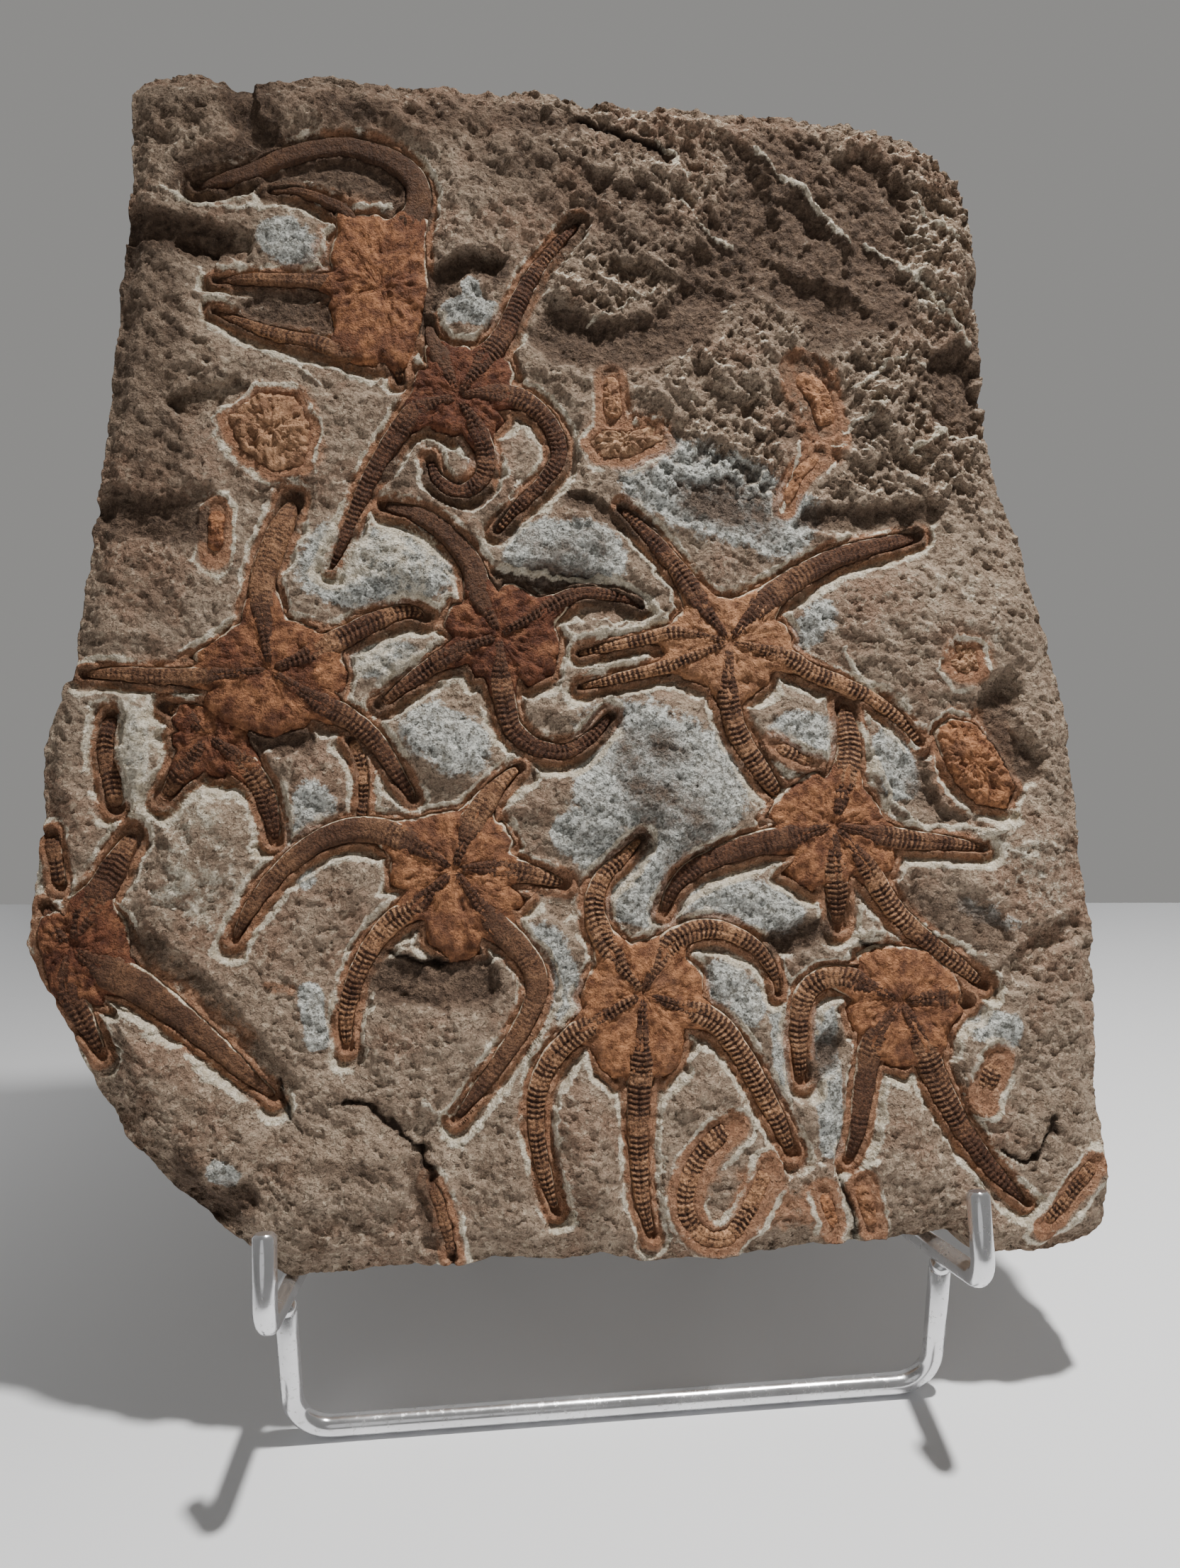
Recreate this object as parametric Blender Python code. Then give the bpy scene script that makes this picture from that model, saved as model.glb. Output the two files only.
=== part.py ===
"""A slab of sandstone crowded with fossil starfish, leaning back on a chrome wire display stand.

Lengths are millimetres in the tables below and metres in the scene. Everything on the slab is
given in the slab's own frame: x across the face, y up the face from the wire it stands on, and
z out of the face, with 0 at the tops of the matrix between the starfish.
"""
import math
import random

import bmesh
import bpy
from mathutils import Matrix, Vector, noise
from mathutils.geometry import delaunay_2d_cdt, intersect_point_line

MM = 0.001

# The stand: one size of wire, bent three times.
WIRE = 6.0
WIRE_R = WIRE / 2
WIRE_SIDES_STEP = 4
GAP = 0.3
LEAN = math.radians(20.9)
LEDGE_HALF_SPACING = 86.0
LEDGE_REACH = 27.0
PRONG_TOP = 18.5
REST_TOP = 150.0
PRONG_BEND = 6.0
REST_BEND = 8.0
FOOT_BEND = 10.0
BEND_STEPS = 4
SLAB_FOOT_Y = 0.4
SLAB_FOOT_Z = 46.7
REAR_FOOT_UP = 105.0
REAR_FOOT_GAP = 5.6
REAR_FOOT_SLOPE = math.radians(30)

# The slab.
SLAB_BACK = -27.0
BELLY = (-10.0, 1.0)
HEEL = (-20.0, -0.5)
BACK_INSET = 6.0
RIM_ROUGHNESS = 3.0
RIM_LUMP = 15.0
BACK_ROUGHNESS = 1.2
OUTLINE = [
    (-86, 0.4), (-78, 0.4), (-45, 0.6), (-10, 0.2), (15, -1.8), (38, -1.4), (64, 0.2), (80, 0.4),
    (93, 0.4), (99, -4.5), (118, -5), (129, -2.5), (134, 3), (135.3, 25), (135, 38), (136.5, 58),
    (137.5, 78), (137, 100), (136, 126), (135.6, 142), (131.5, 162), (127.5, 181), (125.5, 195),
    (120.5, 208), (117.5, 222), (117, 238), (118.5, 262), (117.5, 286), (115.5, 306), (108.5, 312),
    (103.5, 317), (90, 321.5), (70, 325), (40, 327), (8, 328), (-12, 331), (-45, 332), (-76, 333.5),
    (-94, 332), (-112, 334), (-123, 332), (-127.5, 326), (-127.5, 304), (-130, 272), (-132.5, 240),
    (-134.5, 213), (-137.5, 193), (-140, 170), (-141, 157.5), (-145, 154.5), (-148, 136),
    (-149, 115), (-150, 98), (-152.5, 87), (-150, 79.5), (-142, 67), (-134.5, 54), (-127, 38),
    (-115, 25), (-103, 15), (-92, 7)]
OUTLINE_STEP = 9.0

# How the matrix rises from the starfish to the islands between them.
TRENCH = 6.0
POCKET = 0.6
SCATTER = 7.0
LUMP_SIZE = 26.0
LUMP_HEIGHT = 1.6
EDGE_ROUND = 8.0
EDGE_DROP = 3.5

# Hollows and cracks cut in the matrix: the line each follows, its half width and its depth.
HOLLOWS = [
    ([(-127, 286), (-114, 284), (-103, 281)], 5, 6.5), ([(-112, 281), (-106, 276)], 4, 6),
    ([(-46, 265), (-42, 270), (-35, 275), (-27, 276)], 4, 4.5),
    ([(-27, 184), (-15, 182), (0, 181), (12, 176)], 4, 4), ([(-4, 173.5), (10, 173)], 3, 3),
    ([(-12, 257), (2, 252), (14, 257), (26, 259), (34, 266)], 7, 4),
    ([(38, 272), (50, 286), (45, 300), (40, 309)], 9, 4), ([(60, 284), (63, 292)], 8, 4),
    ([(82, 301), (92, 298), (90, 287)], 9, 5), ([(108, 244), (109, 231)], 8, 4),
    ([(60, 200), (76, 199), (97, 201)], 4.5, 3.5), ([(115, 149), (113, 139), (121, 127)], 6, 4),
    ([(88, 127), (92, 114), (103, 111)], 4.5, 3), ([(-58, 76), (-45, 73), (-33, 75)], 6, 4),
    ([(90, 92), (104, 80)], 8, 2), ([(-52, 28), (-50, 18), (-48, 8)], 4, 3.5),
    ([(-97, 21), (-106, 18)], 4, 4), ([(-118, 86), (-105, 73), (-95, 61), (-87, 50)], 3.5, 3.5),
    ([(-131, 204), (-120, 200), (-108, 205)], 6, 3), ([(-112, 233), (-98, 237)], 4, 3),
    ([(-2, 320), (12, 317), (25, 311)], 3, 4), ([(-97, 330), (-95, 318), (-90, 313)], 4, 3),
    ([(115, 70), (122, 78), (130, 81)], 4, 2.5), ([(-12, 91), (-15, 94)], 3.5, 3)]

# Each starfish: the level of the pocket it lies in, how high its disc stands, the centre of the
# disc, its arms in turn (half widths at the root and the tip, then the line of the arm from the
# disc out), and the corners of the disc, each between one arm and the next.
STARFISH = {
    "starfish_1": (-5.0, 4.6, (-58, 268), [
        (3.6, 2.0, [(-50, 287), (-47, 294), (-48, 302), (-56, 308.5), (-69, 311.5), (-83, 308.5),
                    (-96, 302.5), (-109, 299)]),
        (1.7, 1.0, [(-66, 289), (-73, 294.5), (-81, 297.5), (-89, 298)]),
        (2.2, 1.2, [(-71, 270), (-82, 270.5), (-94, 271), (-104, 270.5)]),
        (2.4, 1.2, [(-66, 250), (-76, 252), (-87, 254.5), (-97, 258), (-104, 261.5)]),
        (2.4, 1.5, [(-54, 248), (-53, 241.5)])],
        [(-58, 291), (-72, 281), (-71, 259), (-60, 244.5), (-46.5, 272)]),
    "starfish_2": (-4.8, 4.4, (-37, 236), [
        (3.2, 1.2, [(-29, 247), (-23, 256), (-19, 265), (-14, 274), (-8, 282), (-1, 290)]),
        (3.0, 1.8, [(-41, 247), (-44, 254), (-44.5, 259)]),
        (3.0, 1.2, [(-48, 232), (-55, 224), (-61, 214), (-66, 203), (-70, 193), (-73, 187)]),
        (2.8, 1.6, [(-32, 227), (-29.5, 219), (-31, 212), (-37, 208.5), (-43, 212), (-45, 218.5)]),
        (3.0, 1.4, [(-26, 237), (-18, 235), (-11, 228), (-9, 219), (-13, 212), (-20, 205),
                    (-27, 197.5)])],
        [(-34, 257), (-48, 241), (-42, 226), (-25, 228), (-16, 245)]),
    "starfish_3": (-4.4, 4.6, (-89, 158), [
        (3.2, 2.0, [(-77, 163), (-70, 167), (-61, 171.5), (-52, 174.5), (-47.5, 173)]),
        (3.4, 3.0, [(-91, 176), (-91, 184), (-88.5, 192), (-85.5, 200), (-83, 206.5)]),
        (2.5, 1.6, [(-105, 157), (-116, 157), (-128, 158), (-138, 158.5)]),
        (3.0, 1.8, [(-76, 149), (-68, 144.5), (-61, 138), (-55.5, 129), (-51.5, 123)])],
        [(-86, 173), (-99, 168), (-92, 142.5), (-67, 156)]),
    "starfish_4": (-5.6, 3.6, (-106, 141), [
        (2.8, 2.0, [(-111, 146), (-117, 149.5)]),
        (3.0, 2.6, [(-110, 134.5), (-114.5, 129), (-118, 124.5)]),
        (3.0, 2.4, [(-97, 134), (-92, 127), (-89.5, 119), (-88.5, 112.5)])],
        [(-114, 139), (-104, 130), (-100.5, 144)]),
    "starfish_5": (-4.8, 4.2, (-27, 167), [
        (2.4, 1.0, [(-14, 174.5), (-5, 178.8), (5, 178.3), (13, 175)]),
        (3.3, 2.0, [(-32, 178), (-34, 187), (-39.5, 195), (-47, 201), (-58, 205)]),
        (2.6, 1.8, [(-38, 163), (-45, 159.5), (-52, 154.5), (-60, 148.5)]),
        (3.0, 1.6, [(-27, 156), (-26, 148), (-24, 141), (-18, 135.8), (-10, 134.5), (-3, 138),
                    (3, 144.5)])],
        [(-24, 179), (-42.5, 172), (-33, 156), (-10, 160)]),
    "starfish_6": (-4.4, 4.6, (37, 164), [
        (3.6, 2.0, [(46, 174), (53, 179.5), (61, 184.5), (70, 188.8), (82, 192), (94, 195)]),
        (3.0, 1.6, [(29, 176), (24.5, 184), (18.5, 192), (13, 198.5), (8.5, 203.5)]),
        (1.8, 1.2, [(22, 167), (12, 165.2), (2, 163.2), (-5, 162)]),
        (1.8, 1.2, [(22, 158.5), (12, 156), (3, 154), (-5, 152.5)]),
        (3.0, 2.4, [(36, 151), (37, 143), (40, 135), (45, 127), (50, 120.5)]),
        (2.6, 1.4, [(52, 160), (60, 155.5), (69, 151.8), (78, 147), (86, 140.5), (91, 134.5)])],
        [(37, 177), (22, 172), (16, 162), (28, 153), (45, 152), (54, 168)]),
    "starfish_7": (-4.6, 4.4, (64, 112), [
        (3.0, 1.5, [(76, 109), (86, 107.3), (97, 106), (107, 104.5)]),
        (3.4, 3.0, [(68, 124), (70, 133), (70, 141), (70, 146.5)]),
        (3.4, 1.8, [(52, 109), (42, 107.5), (32, 104.5), (24, 101), (18.5, 96), (15.5, 89.5)]),
        (3.2, 2.8, [(63.5, 101), (64, 93), (64, 84.5)]),
        (3.0, 2.0, [(72, 101), (77, 92.5), (82, 85.5), (89, 79), (97, 72.5), (104, 67)])],
        [(77, 118), (58, 120), (58, 102), (68.5, 97.5), (80, 101)]),
    "starfish_8": (-4.6, 4.6, (-41, 103), [
        (3.0, 2.0, [(-29, 103), (-20, 101), (-11.5, 98.2)]),
        (3.6, 1.6, [(-36, 115), (-31, 122.5), (-26, 128), (-22.5, 130.3)]),
        (3.6, 1.6, [(-54, 111.5), (-64, 114.5), (-74, 113), (-83, 107.5), (-90, 100.5), (-95.5, 93),
                    (-99, 86.5)]),
        (2.8, 1.8, [(-51, 94), (-58, 89.5), (-63.5, 83), (-67.5, 75), (-70, 66), (-70, 57.5)]),
        (3.4, 1.6, [(-31, 89), (-25, 82.5), (-20.5, 76), (-20, 69), (-24, 60.5), (-30.5, 51.5),
                    (-37, 43.5), (-42, 37.5)])],
        [(-28, 110), (-46, 118), (-58, 101), (-40, 80.5), (-26, 94)]),
    "starfish_9": (-4.4, 4.8, (8.5, 68), [
        (3.0, 2.2, [(22, 63), (29, 59), (34.5, 51.5), (39.5, 42), (44, 32.5), (47.5, 24.5)]),
        (3.2, 1.2, [(15, 79), (20, 83), (27, 84.8), (34.5, 83), (41, 78.5), (45, 72), (46, 66.5)]),
        (3.2, 1.4, [(1, 79), (-2.5, 86), (-3.5, 93), (-1, 99.5), (4.5, 104.5), (10, 110)]),
        (3.0, 1.5, [(-5, 61), (-12, 56.5), (-17.5, 50.5), (-20.5, 43), (-21, 34), (-19.5, 24),
                    (-16.5, 13)]),
        (3.2, 1.6, [(7.5, 50), (6.5, 41), (6, 32), (6, 23), (6.5, 14), (8.5, 5)])],
        [(24, 74), (8, 82.5), (-7, 71), (-3, 49), (17, 51)]),
    "starfish_10": (-4.8, 4.4, (80, 63), [
        (4.0, 2.2, [(93, 64), (99, 62)]),
        (3.0, 2.2, [(68, 69), (60, 70.5), (54, 67), (51.5, 60), (51, 51.5), (51.5, 43.5)]),
        (3.2, 2.0, [(72, 54), (69.5, 46), (67.5, 37), (65.5, 28), (63, 21.5)]),
        (3.8, 1.5, [(85, 52), (88, 43), (92, 34), (97, 25), (104, 15.5), (112, 7.8)])],
        [(80, 76), (66, 59), (78, 47.5), (92, 56)]),
    "starfish_11": (-5.0, 4.4, (-140, 86), [
        (4.0, 2.8, [(-136, 95), (-131.5, 103), (-128, 110), (-125, 115.5)]),
        (2.6, 1.8, [(-145, 92), (-147, 97)]),
        (3.0, 2.0, [(-141, 77), (-138, 70), (-134.5, 62.5), (-132.5, 58.5)]),
        (4.4, 1.6, [(-131, 80), (-122, 74.5), (-113, 67.5), (-104, 59.5), (-96, 52), (-89, 45.5)])],
        [(-142, 96), (-147, 83), (-136, 73), (-127, 89)])}

# Loose lengths of arm: the level of the pocket, the height, the half widths at both ends, the line.
ARM_PIECES = {
    "arm_piece_1": (-3.6, 3.0, 2.6, 2.2, [(31, 33), (24, 27.5), (19, 20), (17.5, 12), (21, 5.5),
                                          (28, 4), (33, 9), (37, 15.5), (40, 22)]),
    "arm_piece_2": (-4.0, 2.8, 2.6, 2.6, [(105.5, 47), (103, 42), (100.5, 36.5)]),
    "arm_piece_3": (-4.0, 2.8, 2.0, 1.6, [(131, 18), (126, 13), (119.5, 6.5), (115, 2)]),
    "arm_piece_4": (-4.4, 2.6, 1.6, 1.4, [(-49, 22.5), (-46.5, 16), (-44.8, 9), (-43.8, 3)]),
    "arm_piece_5": (-4.4, 3.2, 2.4, 2.2, [(65.5, 15.5), (66.5, 10), (68, 4.5)]),
    "arm_piece_6": (-4.4, 2.8, 1.8, 1.8, [(55, 14), (57.5, 4)]),
    "arm_piece_7": (-5.0, 3.4, 2.4, 2.0, [(-129.5, 122.5), (-130.5, 129), (-132.5, 138), (-131, 147)]),
    "arm_piece_8": (-4.4, 3.2, 1.7, 1.7, [(48, 135), (54, 131.5), (59.5, 129)]),
    "arm_piece_9": (-4.8, 3.0, 2.0, 1.8, [(-146, 115.5), (-144.5, 108), (-143.5, 102)]),
    "arm_piece_10": (-4.0, 3.4, 3.0, 2.4, [(7, 229), (6.5, 236), (6.5, 242)]),
    "arm_piece_11": (-4.4, 3.4, 4.0, 3.4, [(62, 244), (67, 236), (69, 227)]),
    "arm_piece_12": (-4.0, 3.0, 2.0, 1.8, [(66, 219), (59, 212), (55, 203)])}

# Crumbled discs: the level of the pocket, the height, the outline.
DISC_PATCHES = {
    "disc_patch_1": (-4.8, 4.6, [(95, 137.5), (96.5, 129.5), (100.5, 122.5), (106, 116.5), (115, 115),
                                 (118, 121), (113, 132), (107, 140), (99.5, 142)]),
    "disc_patch_2": (-4.0, 3.8, [(-101, 229), (-97, 220), (-88, 213), (-79, 215), (-77, 226),
                                 (-81, 236), (-92, 237)]),
    "disc_patch_3": (-4.0, 3.4, [(-1, 222), (2, 217.5), (11, 217), (22, 223), (20, 227.5), (11, 225.5),
                                 (3, 226)])}

STATION_LENGTH = 8.5
SIDE_SHARE = 0.35

ROCK = (0.235, 0.165, 0.115)
FOSSIL = (0.26, 0.105, 0.05)
CHROME = (0.75, 0.75, 0.76)


def clear_scene():
    for thing in list(bpy.data.objects):
        bpy.data.objects.remove(thing)


def finish(name, colour, roughness, metallic):
    material = bpy.data.materials.new(name)
    material.use_nodes = True
    shader = material.node_tree.nodes["Principled BSDF"]
    shader.inputs["Base Color"].default_value = (*colour, 1)
    shader.inputs["Roughness"].default_value = roughness
    shader.inputs["Metallic"].default_value = metallic
    return material


def place(thing, parent):
    bpy.context.scene.collection.objects.link(thing)
    thing.parent = parent
    return thing


def frame_empty(name, location=(0, 0, 0), tilt=0.0, parent=None):
    empty = bpy.data.objects.new(name, None)
    empty.location = location
    empty.rotation_euler = (tilt, 0, 0)
    return place(empty, parent)


def mesh_object(name, bm, material, parent):
    """Scale a bmesh from millimetres to metres and put it in the scene."""
    bmesh.ops.recalc_face_normals(bm, faces=bm.faces)
    bmesh.ops.scale(bm, vec=Vector((MM, MM, MM)), verts=bm.verts)
    mesh = bpy.data.meshes.new(name)
    bm.to_mesh(mesh)
    bm.free()
    mesh.materials.append(material)
    return place(bpy.data.objects.new(name, mesh), parent)


# --- lines and distances -------------------------------------------------------------------------

def smoothstep(x):
    x = min(1.0, max(0.0, x))
    return x * x * (3 - 2 * x)


def flat(point):
    return Vector((point[0], point[1], 0))


def smooth_line(points, count):
    """Catmull-Rom line through the points, as count + 1 stations."""
    ends = [points[0]] + list(points) + [points[-1]]
    knots = [flat(p) for p in ends]
    spans = len(points) - 1
    line = []
    for step in range(count + 1):
        place_on = step / count * spans
        span = min(int(place_on), spans - 1)
        t = place_on - span
        a, b, c, d = knots[span:span + 4]
        line.append(0.5 * (2 * b + (c - a) * t + (2 * a - 5 * b + 4 * c - d) * t * t
                           + (3 * b - a - 3 * c + d) * t * t * t))
    return line


def line_length(points):
    return sum((flat(a) - flat(b)).length for a, b in zip(points, points[1:]))


def arm_stations(root_width, tip_width, points):
    """The centre, the sideways direction and the half width at each station of an arm."""
    count = max(2, round(line_length(points) / STATION_LENGTH))
    line = smooth_line(points, count)
    stations = []
    for index, centre in enumerate(line):
        ahead = line[min(index + 1, count)] - line[max(index - 1, 0)]
        sideways = Vector((-ahead.y, ahead.x, 0)).normalized()
        share = index / count
        stations.append((centre, sideways, root_width + (tip_width - root_width) * share))
    return stations


def to_segment(point, a, b):
    """Distance from a point to a segment, and how far along the segment it is."""
    foot, along = intersect_point_line(point, a, b)
    along = min(1.0, max(0.0, along))
    return (point - a.lerp(b, along)).length, along


def to_line(point, line):
    return min(to_segment(point, a, b)[0] for a, b in zip(line, line[1:]))


def inside_loop(point, loop):
    inside = False
    for a, b in zip(loop, loop[1:] + loop[:1]):
        if (a.y > point.y) != (b.y > point.y):
            if point.x < a.x + (b.x - a.x) * (point.y - a.y) / (b.y - a.y):
                inside = not inside
    return inside


def from_loop(point, loop):
    """Distance from a loop, negative inside it."""
    distance = min(to_segment(point, a, b)[0] for a, b in zip(loop, loop[1:] + loop[:1]))
    return -distance if inside_loop(point, loop) else distance


def walk(points, step):
    """A closed line through the points, cut into pieces no longer than step."""
    loop = []
    for a, b in zip(points, points[1:] + points[:1]):
        pieces = max(1, math.ceil((flat(b) - flat(a)).length / step))
        loop += [flat(a).lerp(flat(b), piece / pieces) for piece in range(pieces)]
    return loop


# --- the plan of everything that lies in a pocket ------------------------------------------------

def edge_points(stations, grow):
    """Left edge out, then right edge back, of an arm whose root is left open."""
    left = [c + s * (w + grow) for c, s, w in stations]
    right = [c - s * (w + grow) for c, s, w in stations]
    centre, _, width = stations[-1]
    ahead = (centre - stations[-2][0]).normalized() * grow
    left[-1] += ahead
    right[-1] += ahead
    return left, right


def star_loop(arms, corners, grow):
    """The outline of a starfish: round each arm, then to the corner before the next."""
    middle = sum((flat(c) for c in corners), Vector()) / len(corners)
    loop = []
    for index, arm in enumerate(arms):
        left, right = edge_points(arm_stations(*arm), grow)
        loop += right[1:] + left[:0:-1]
        corner = flat(corners[index])
        loop.append(corner + (corner - middle).normalized() * grow)
    return loop


def piece_loop(stations, grow):
    left, right = edge_points(stations, grow)
    behind = (stations[0][0] - stations[1][0]).normalized() * grow
    left[0] += behind
    right[0] += behind
    return right + left[::-1]


def patch_loop(points, grow):
    middle = sum((flat(p) for p in points), Vector()) / len(points)
    return [flat(p) + (flat(p) - middle).normalized() * grow for p in points]


def all_pockets(grow):
    """The outline and the level of every pocket in the slab's face."""
    pockets = [(star_loop(arms, corners, grow), level)
               for level, _, _, arms, corners in STARFISH.values()]
    pockets += [(piece_loop(arm_stations(root, tip, line), grow), level)
                for level, _, root, tip, line in ARM_PIECES.values()]
    pockets += [(patch_loop(points, grow), level) for level, _, points in DISC_PATCHES.values()]
    return pockets


class Relief:
    """The height of the slab's face at any place on it."""

    def __init__(self):
        self.pockets = []
        for loop, level in all_pockets(POCKET):
            low = Vector((min(p.x for p in loop), min(p.y for p in loop), 0))
            high = Vector((max(p.x for p in loop), max(p.y for p in loop), 0))
            self.pockets.append((loop, level, low, high))
        self.outline = walk(OUTLINE, OUTLINE_STEP)
        self.hollows = [([flat(p) for p in line], width, depth) for line, width, depth in HOLLOWS]

    def nearest_pocket(self, point):
        """Distance to the nearest pocket's edge and its level; the lowest of those it is inside."""
        best = (TRENCH * 2, 0.0)
        for loop, level, low, high in self.pockets:
            reach = max(low.x - point.x, point.x - high.x, low.y - point.y, point.y - high.y)
            if reach > best[0]:
                continue
            distance = from_loop(point, loop)
            if distance <= 0.01 and best[0] <= 0.01:
                best = (0.0, min(level, best[1]))
            elif distance < best[0]:
                best = (max(distance, 0.0), level)
        return best

    def matrix_top(self, point):
        lumps = noise.noise(point / LUMP_SIZE) * LUMP_HEIGHT
        grain = noise.noise(point / (LUMP_SIZE * 0.35)) * LUMP_HEIGHT * 0.5
        height = lumps + grain - LUMP_HEIGHT * 0.3
        for line, width, depth in self.hollows:
            away = to_line(point, line)
            if away < width * 2:
                height -= depth * (1 - smoothstep((away - width * 0.3) / (width * 1.2)))
        from_edge = to_line(point, self.outline + self.outline[:1])
        return height - EDGE_DROP * (1 - smoothstep(from_edge / EDGE_ROUND))

    def height(self, point):
        distance, level = self.nearest_pocket(point)
        if distance <= 0.01:
            return level
        rise = smoothstep(distance / TRENCH) ** 0.8
        return level + (self.matrix_top(point) - level) * rise


# --- the slab ------------------------------------------------------------------------------------

def scattered(outline, relief, step, margin, clear_of_pockets):
    """Places in a jittered triangular pattern inside an outline, clear of its edge and pockets."""
    rng = random.Random(8)
    across = [p.x for p in outline]
    up = [p.y for p in outline]
    places = []
    row = 0
    y = min(up)
    while y < max(up):
        x = min(across) + (step / 2 if row % 2 else 0)
        while x < max(across):
            point = Vector((x + rng.uniform(-1, 1), y + rng.uniform(-1, 1), 0))
            x += step
            if not inside_loop(point, outline) or to_line(point, outline + outline[:1]) < margin:
                continue
            if clear_of_pockets and relief.nearest_pocket(point)[0] < clear_of_pockets:
                continue
            places.append(point)
        y += step * math.sqrt(0.75)
        row += 1
    return places


def sheet(bm, outline, pockets, places, height_at):
    """A triangulated sheet inside an outline, with its edges kept along the pockets."""
    points = []
    edges = []
    for loop in [outline] + pockets:
        start = len(points)
        count = len(loop)
        points += [p.xy for p in loop]
        edges += [(start + i, start + (i + 1) % count) for i in range(count)]
    points += [p.xy for p in places]
    flat_points, _, faces, _, _, _ = delaunay_2d_cdt(points, edges, [], 1, 0.02)
    made = [bm.verts.new((p.x, p.y, height_at(Vector((p.x, p.y, 0))))) for p in flat_points]
    for face in faces:
        bm.faces.new([made[i] for i in face])


def rim_row(outline, z, inset):
    """The slab's outline drawn in by an uneven amount, kept clear of the wires it stands on."""
    middle = Vector((-7, 165, 0))
    row = []
    for point in outline:
        broken = RIM_ROUGHNESS * noise.noise(Vector((point.x, point.y, z)) / RIM_LUMP)
        moved = point + (middle - point).normalized() * (inset + broken)
        if abs(abs(point.x) - LEDGE_HALF_SPACING) < 9 and point.y < 5:
            moved = Vector((point.x, point.y + max(inset, 0), 0))
        row.append(Vector((moved.x, moved.y, z)))
    return row


def add_side(bm, upper, lower):
    """One band of the slab's side between two rows of its rim."""
    count = len(upper)
    top = [bm.verts.new(p) for p in upper]
    bottom = [bm.verts.new(p) for p in lower]
    for i in range(count):
        j = (i + 1) % count
        bm.faces.new((top[i], top[j], bottom[j], bottom[i]))


def back_height(point):
    return SLAB_BACK + BACK_ROUGHNESS * abs(noise.noise(point / LUMP_SIZE + Vector((0, 0, 5))))


def build_slab(relief, material, parent):
    bm = bmesh.new()
    outline = relief.outline
    places = scattered(outline, relief, SCATTER, 3.5, 2.4)
    pockets = [loop for loop, _ in all_pockets(POCKET)]
    sheet(bm, outline, pockets, places, relief.height)
    front = [Vector((p.x, p.y, relief.height(p))) for p in outline]
    rows = [front, rim_row(outline, BELLY[0], -BELLY[1]), rim_row(outline, HEEL[0], -HEEL[1])]
    back = rim_row(outline, SLAB_BACK, BACK_INSET)
    rows.append([Vector((p.x, p.y, back_height(flat(p)))) for p in back])
    for upper, lower in zip(rows, rows[1:]):
        add_side(bm, upper, lower)
    back_flat = [flat(p) for p in back]
    sheet(bm, back_flat, [], scattered(back_flat, relief, SCATTER * 3, 8, 0), back_height)
    bmesh.ops.remove_doubles(bm, verts=bm.verts, dist=0.01)
    return mesh_object("rock_slab", bm, material, parent)


# --- the fossils ---------------------------------------------------------------------------------

def arm_strip(bm, stations, floor, height, root_corners=None):
    """An arm as a grid three rows wide: both edges and the ridge between them."""
    count = len(stations) - 1
    made = bmesh.ops.create_grid(bm, x_segments=count, y_segments=2, size=0.5)["verts"]
    for vert in made:
        index = round((vert.co.x + 0.5) * count)
        side = round(vert.co.y * 2)
        centre, sideways, width = stations[index]
        share = index / count
        crest = floor + height * (1 - 0.45 * share)
        edge = floor + height * SIDE_SHARE
        spot = centre + sideways * width * side
        if index == 0 and side and root_corners:
            spot = flat(root_corners[0 if side > 0 else 1])
        vert.co = (spot.x, spot.y, edge if side else crest)


def drop_to_floor(bm, floor):
    """Close a raised sheet with a wall all round and a flat underside."""
    rim = [edge for edge in bm.edges if edge.is_boundary]
    walls = bmesh.ops.extrude_edge_only(bm, edges=rim)["geom"]
    for vert in [g for g in walls if isinstance(g, bmesh.types.BMVert)]:
        vert.co.z = floor
    low = [edge for edge in bm.edges if edge.is_boundary]
    bmesh.ops.contextual_create(bm, geom=low)


def build_starfish(name, spec, material, parent):
    level, height, centre, arms, corners = spec
    floor = level + GAP
    bm = bmesh.new()
    for index, arm in enumerate(arms):
        root_corners = (corners[index], corners[index - 1])
        arm_strip(bm, arm_stations(*arm), floor, height * 0.85, root_corners)
    bmesh.ops.remove_doubles(bm, verts=bm.verts, dist=0.01)
    corner_spots = [flat(c) for c in corners]
    roots = [flat(arm[2][0]) for arm in arms]
    ring = [edge for edge in bm.edges if edge.is_boundary and all(
        any((flat(v.co) - p).length < 0.05 for p in corner_spots + roots) for v in edge.verts)]
    disc = bmesh.ops.contextual_create(bm, geom=ring)["faces"]
    peak = bmesh.ops.poke(bm, faces=disc)["verts"][0]
    peak.co = (centre[0], centre[1], floor + height)
    drop_to_floor(bm, floor)
    return mesh_object(name, bm, material, parent)


def build_arm_piece(name, spec, material, parent):
    level, height, root, tip, line = spec
    bm = bmesh.new()
    arm_strip(bm, arm_stations(root, tip, line), level + GAP, height)
    drop_to_floor(bm, level + GAP)
    return mesh_object(name, bm, material, parent)


def build_disc_patch(name, spec, material, parent):
    level, height, points = spec
    floor = level + GAP
    rng = random.Random(len(points))
    bm = bmesh.new()
    outline = [bm.verts.new((x, y, floor + height * SIDE_SHARE)) for x, y in points]
    top = bm.faces.new(outline)
    bmesh.ops.inset_individual(bm, faces=[top], thickness=1.8)
    for vert in top.verts:
        vert.co.z = floor + height * rng.uniform(0.75, 1.0)
    bmesh.ops.poke(bm, faces=[top])
    drop_to_floor(bm, floor)
    return mesh_object(name, bm, material, parent)


# --- the stand -----------------------------------------------------------------------------------

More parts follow.
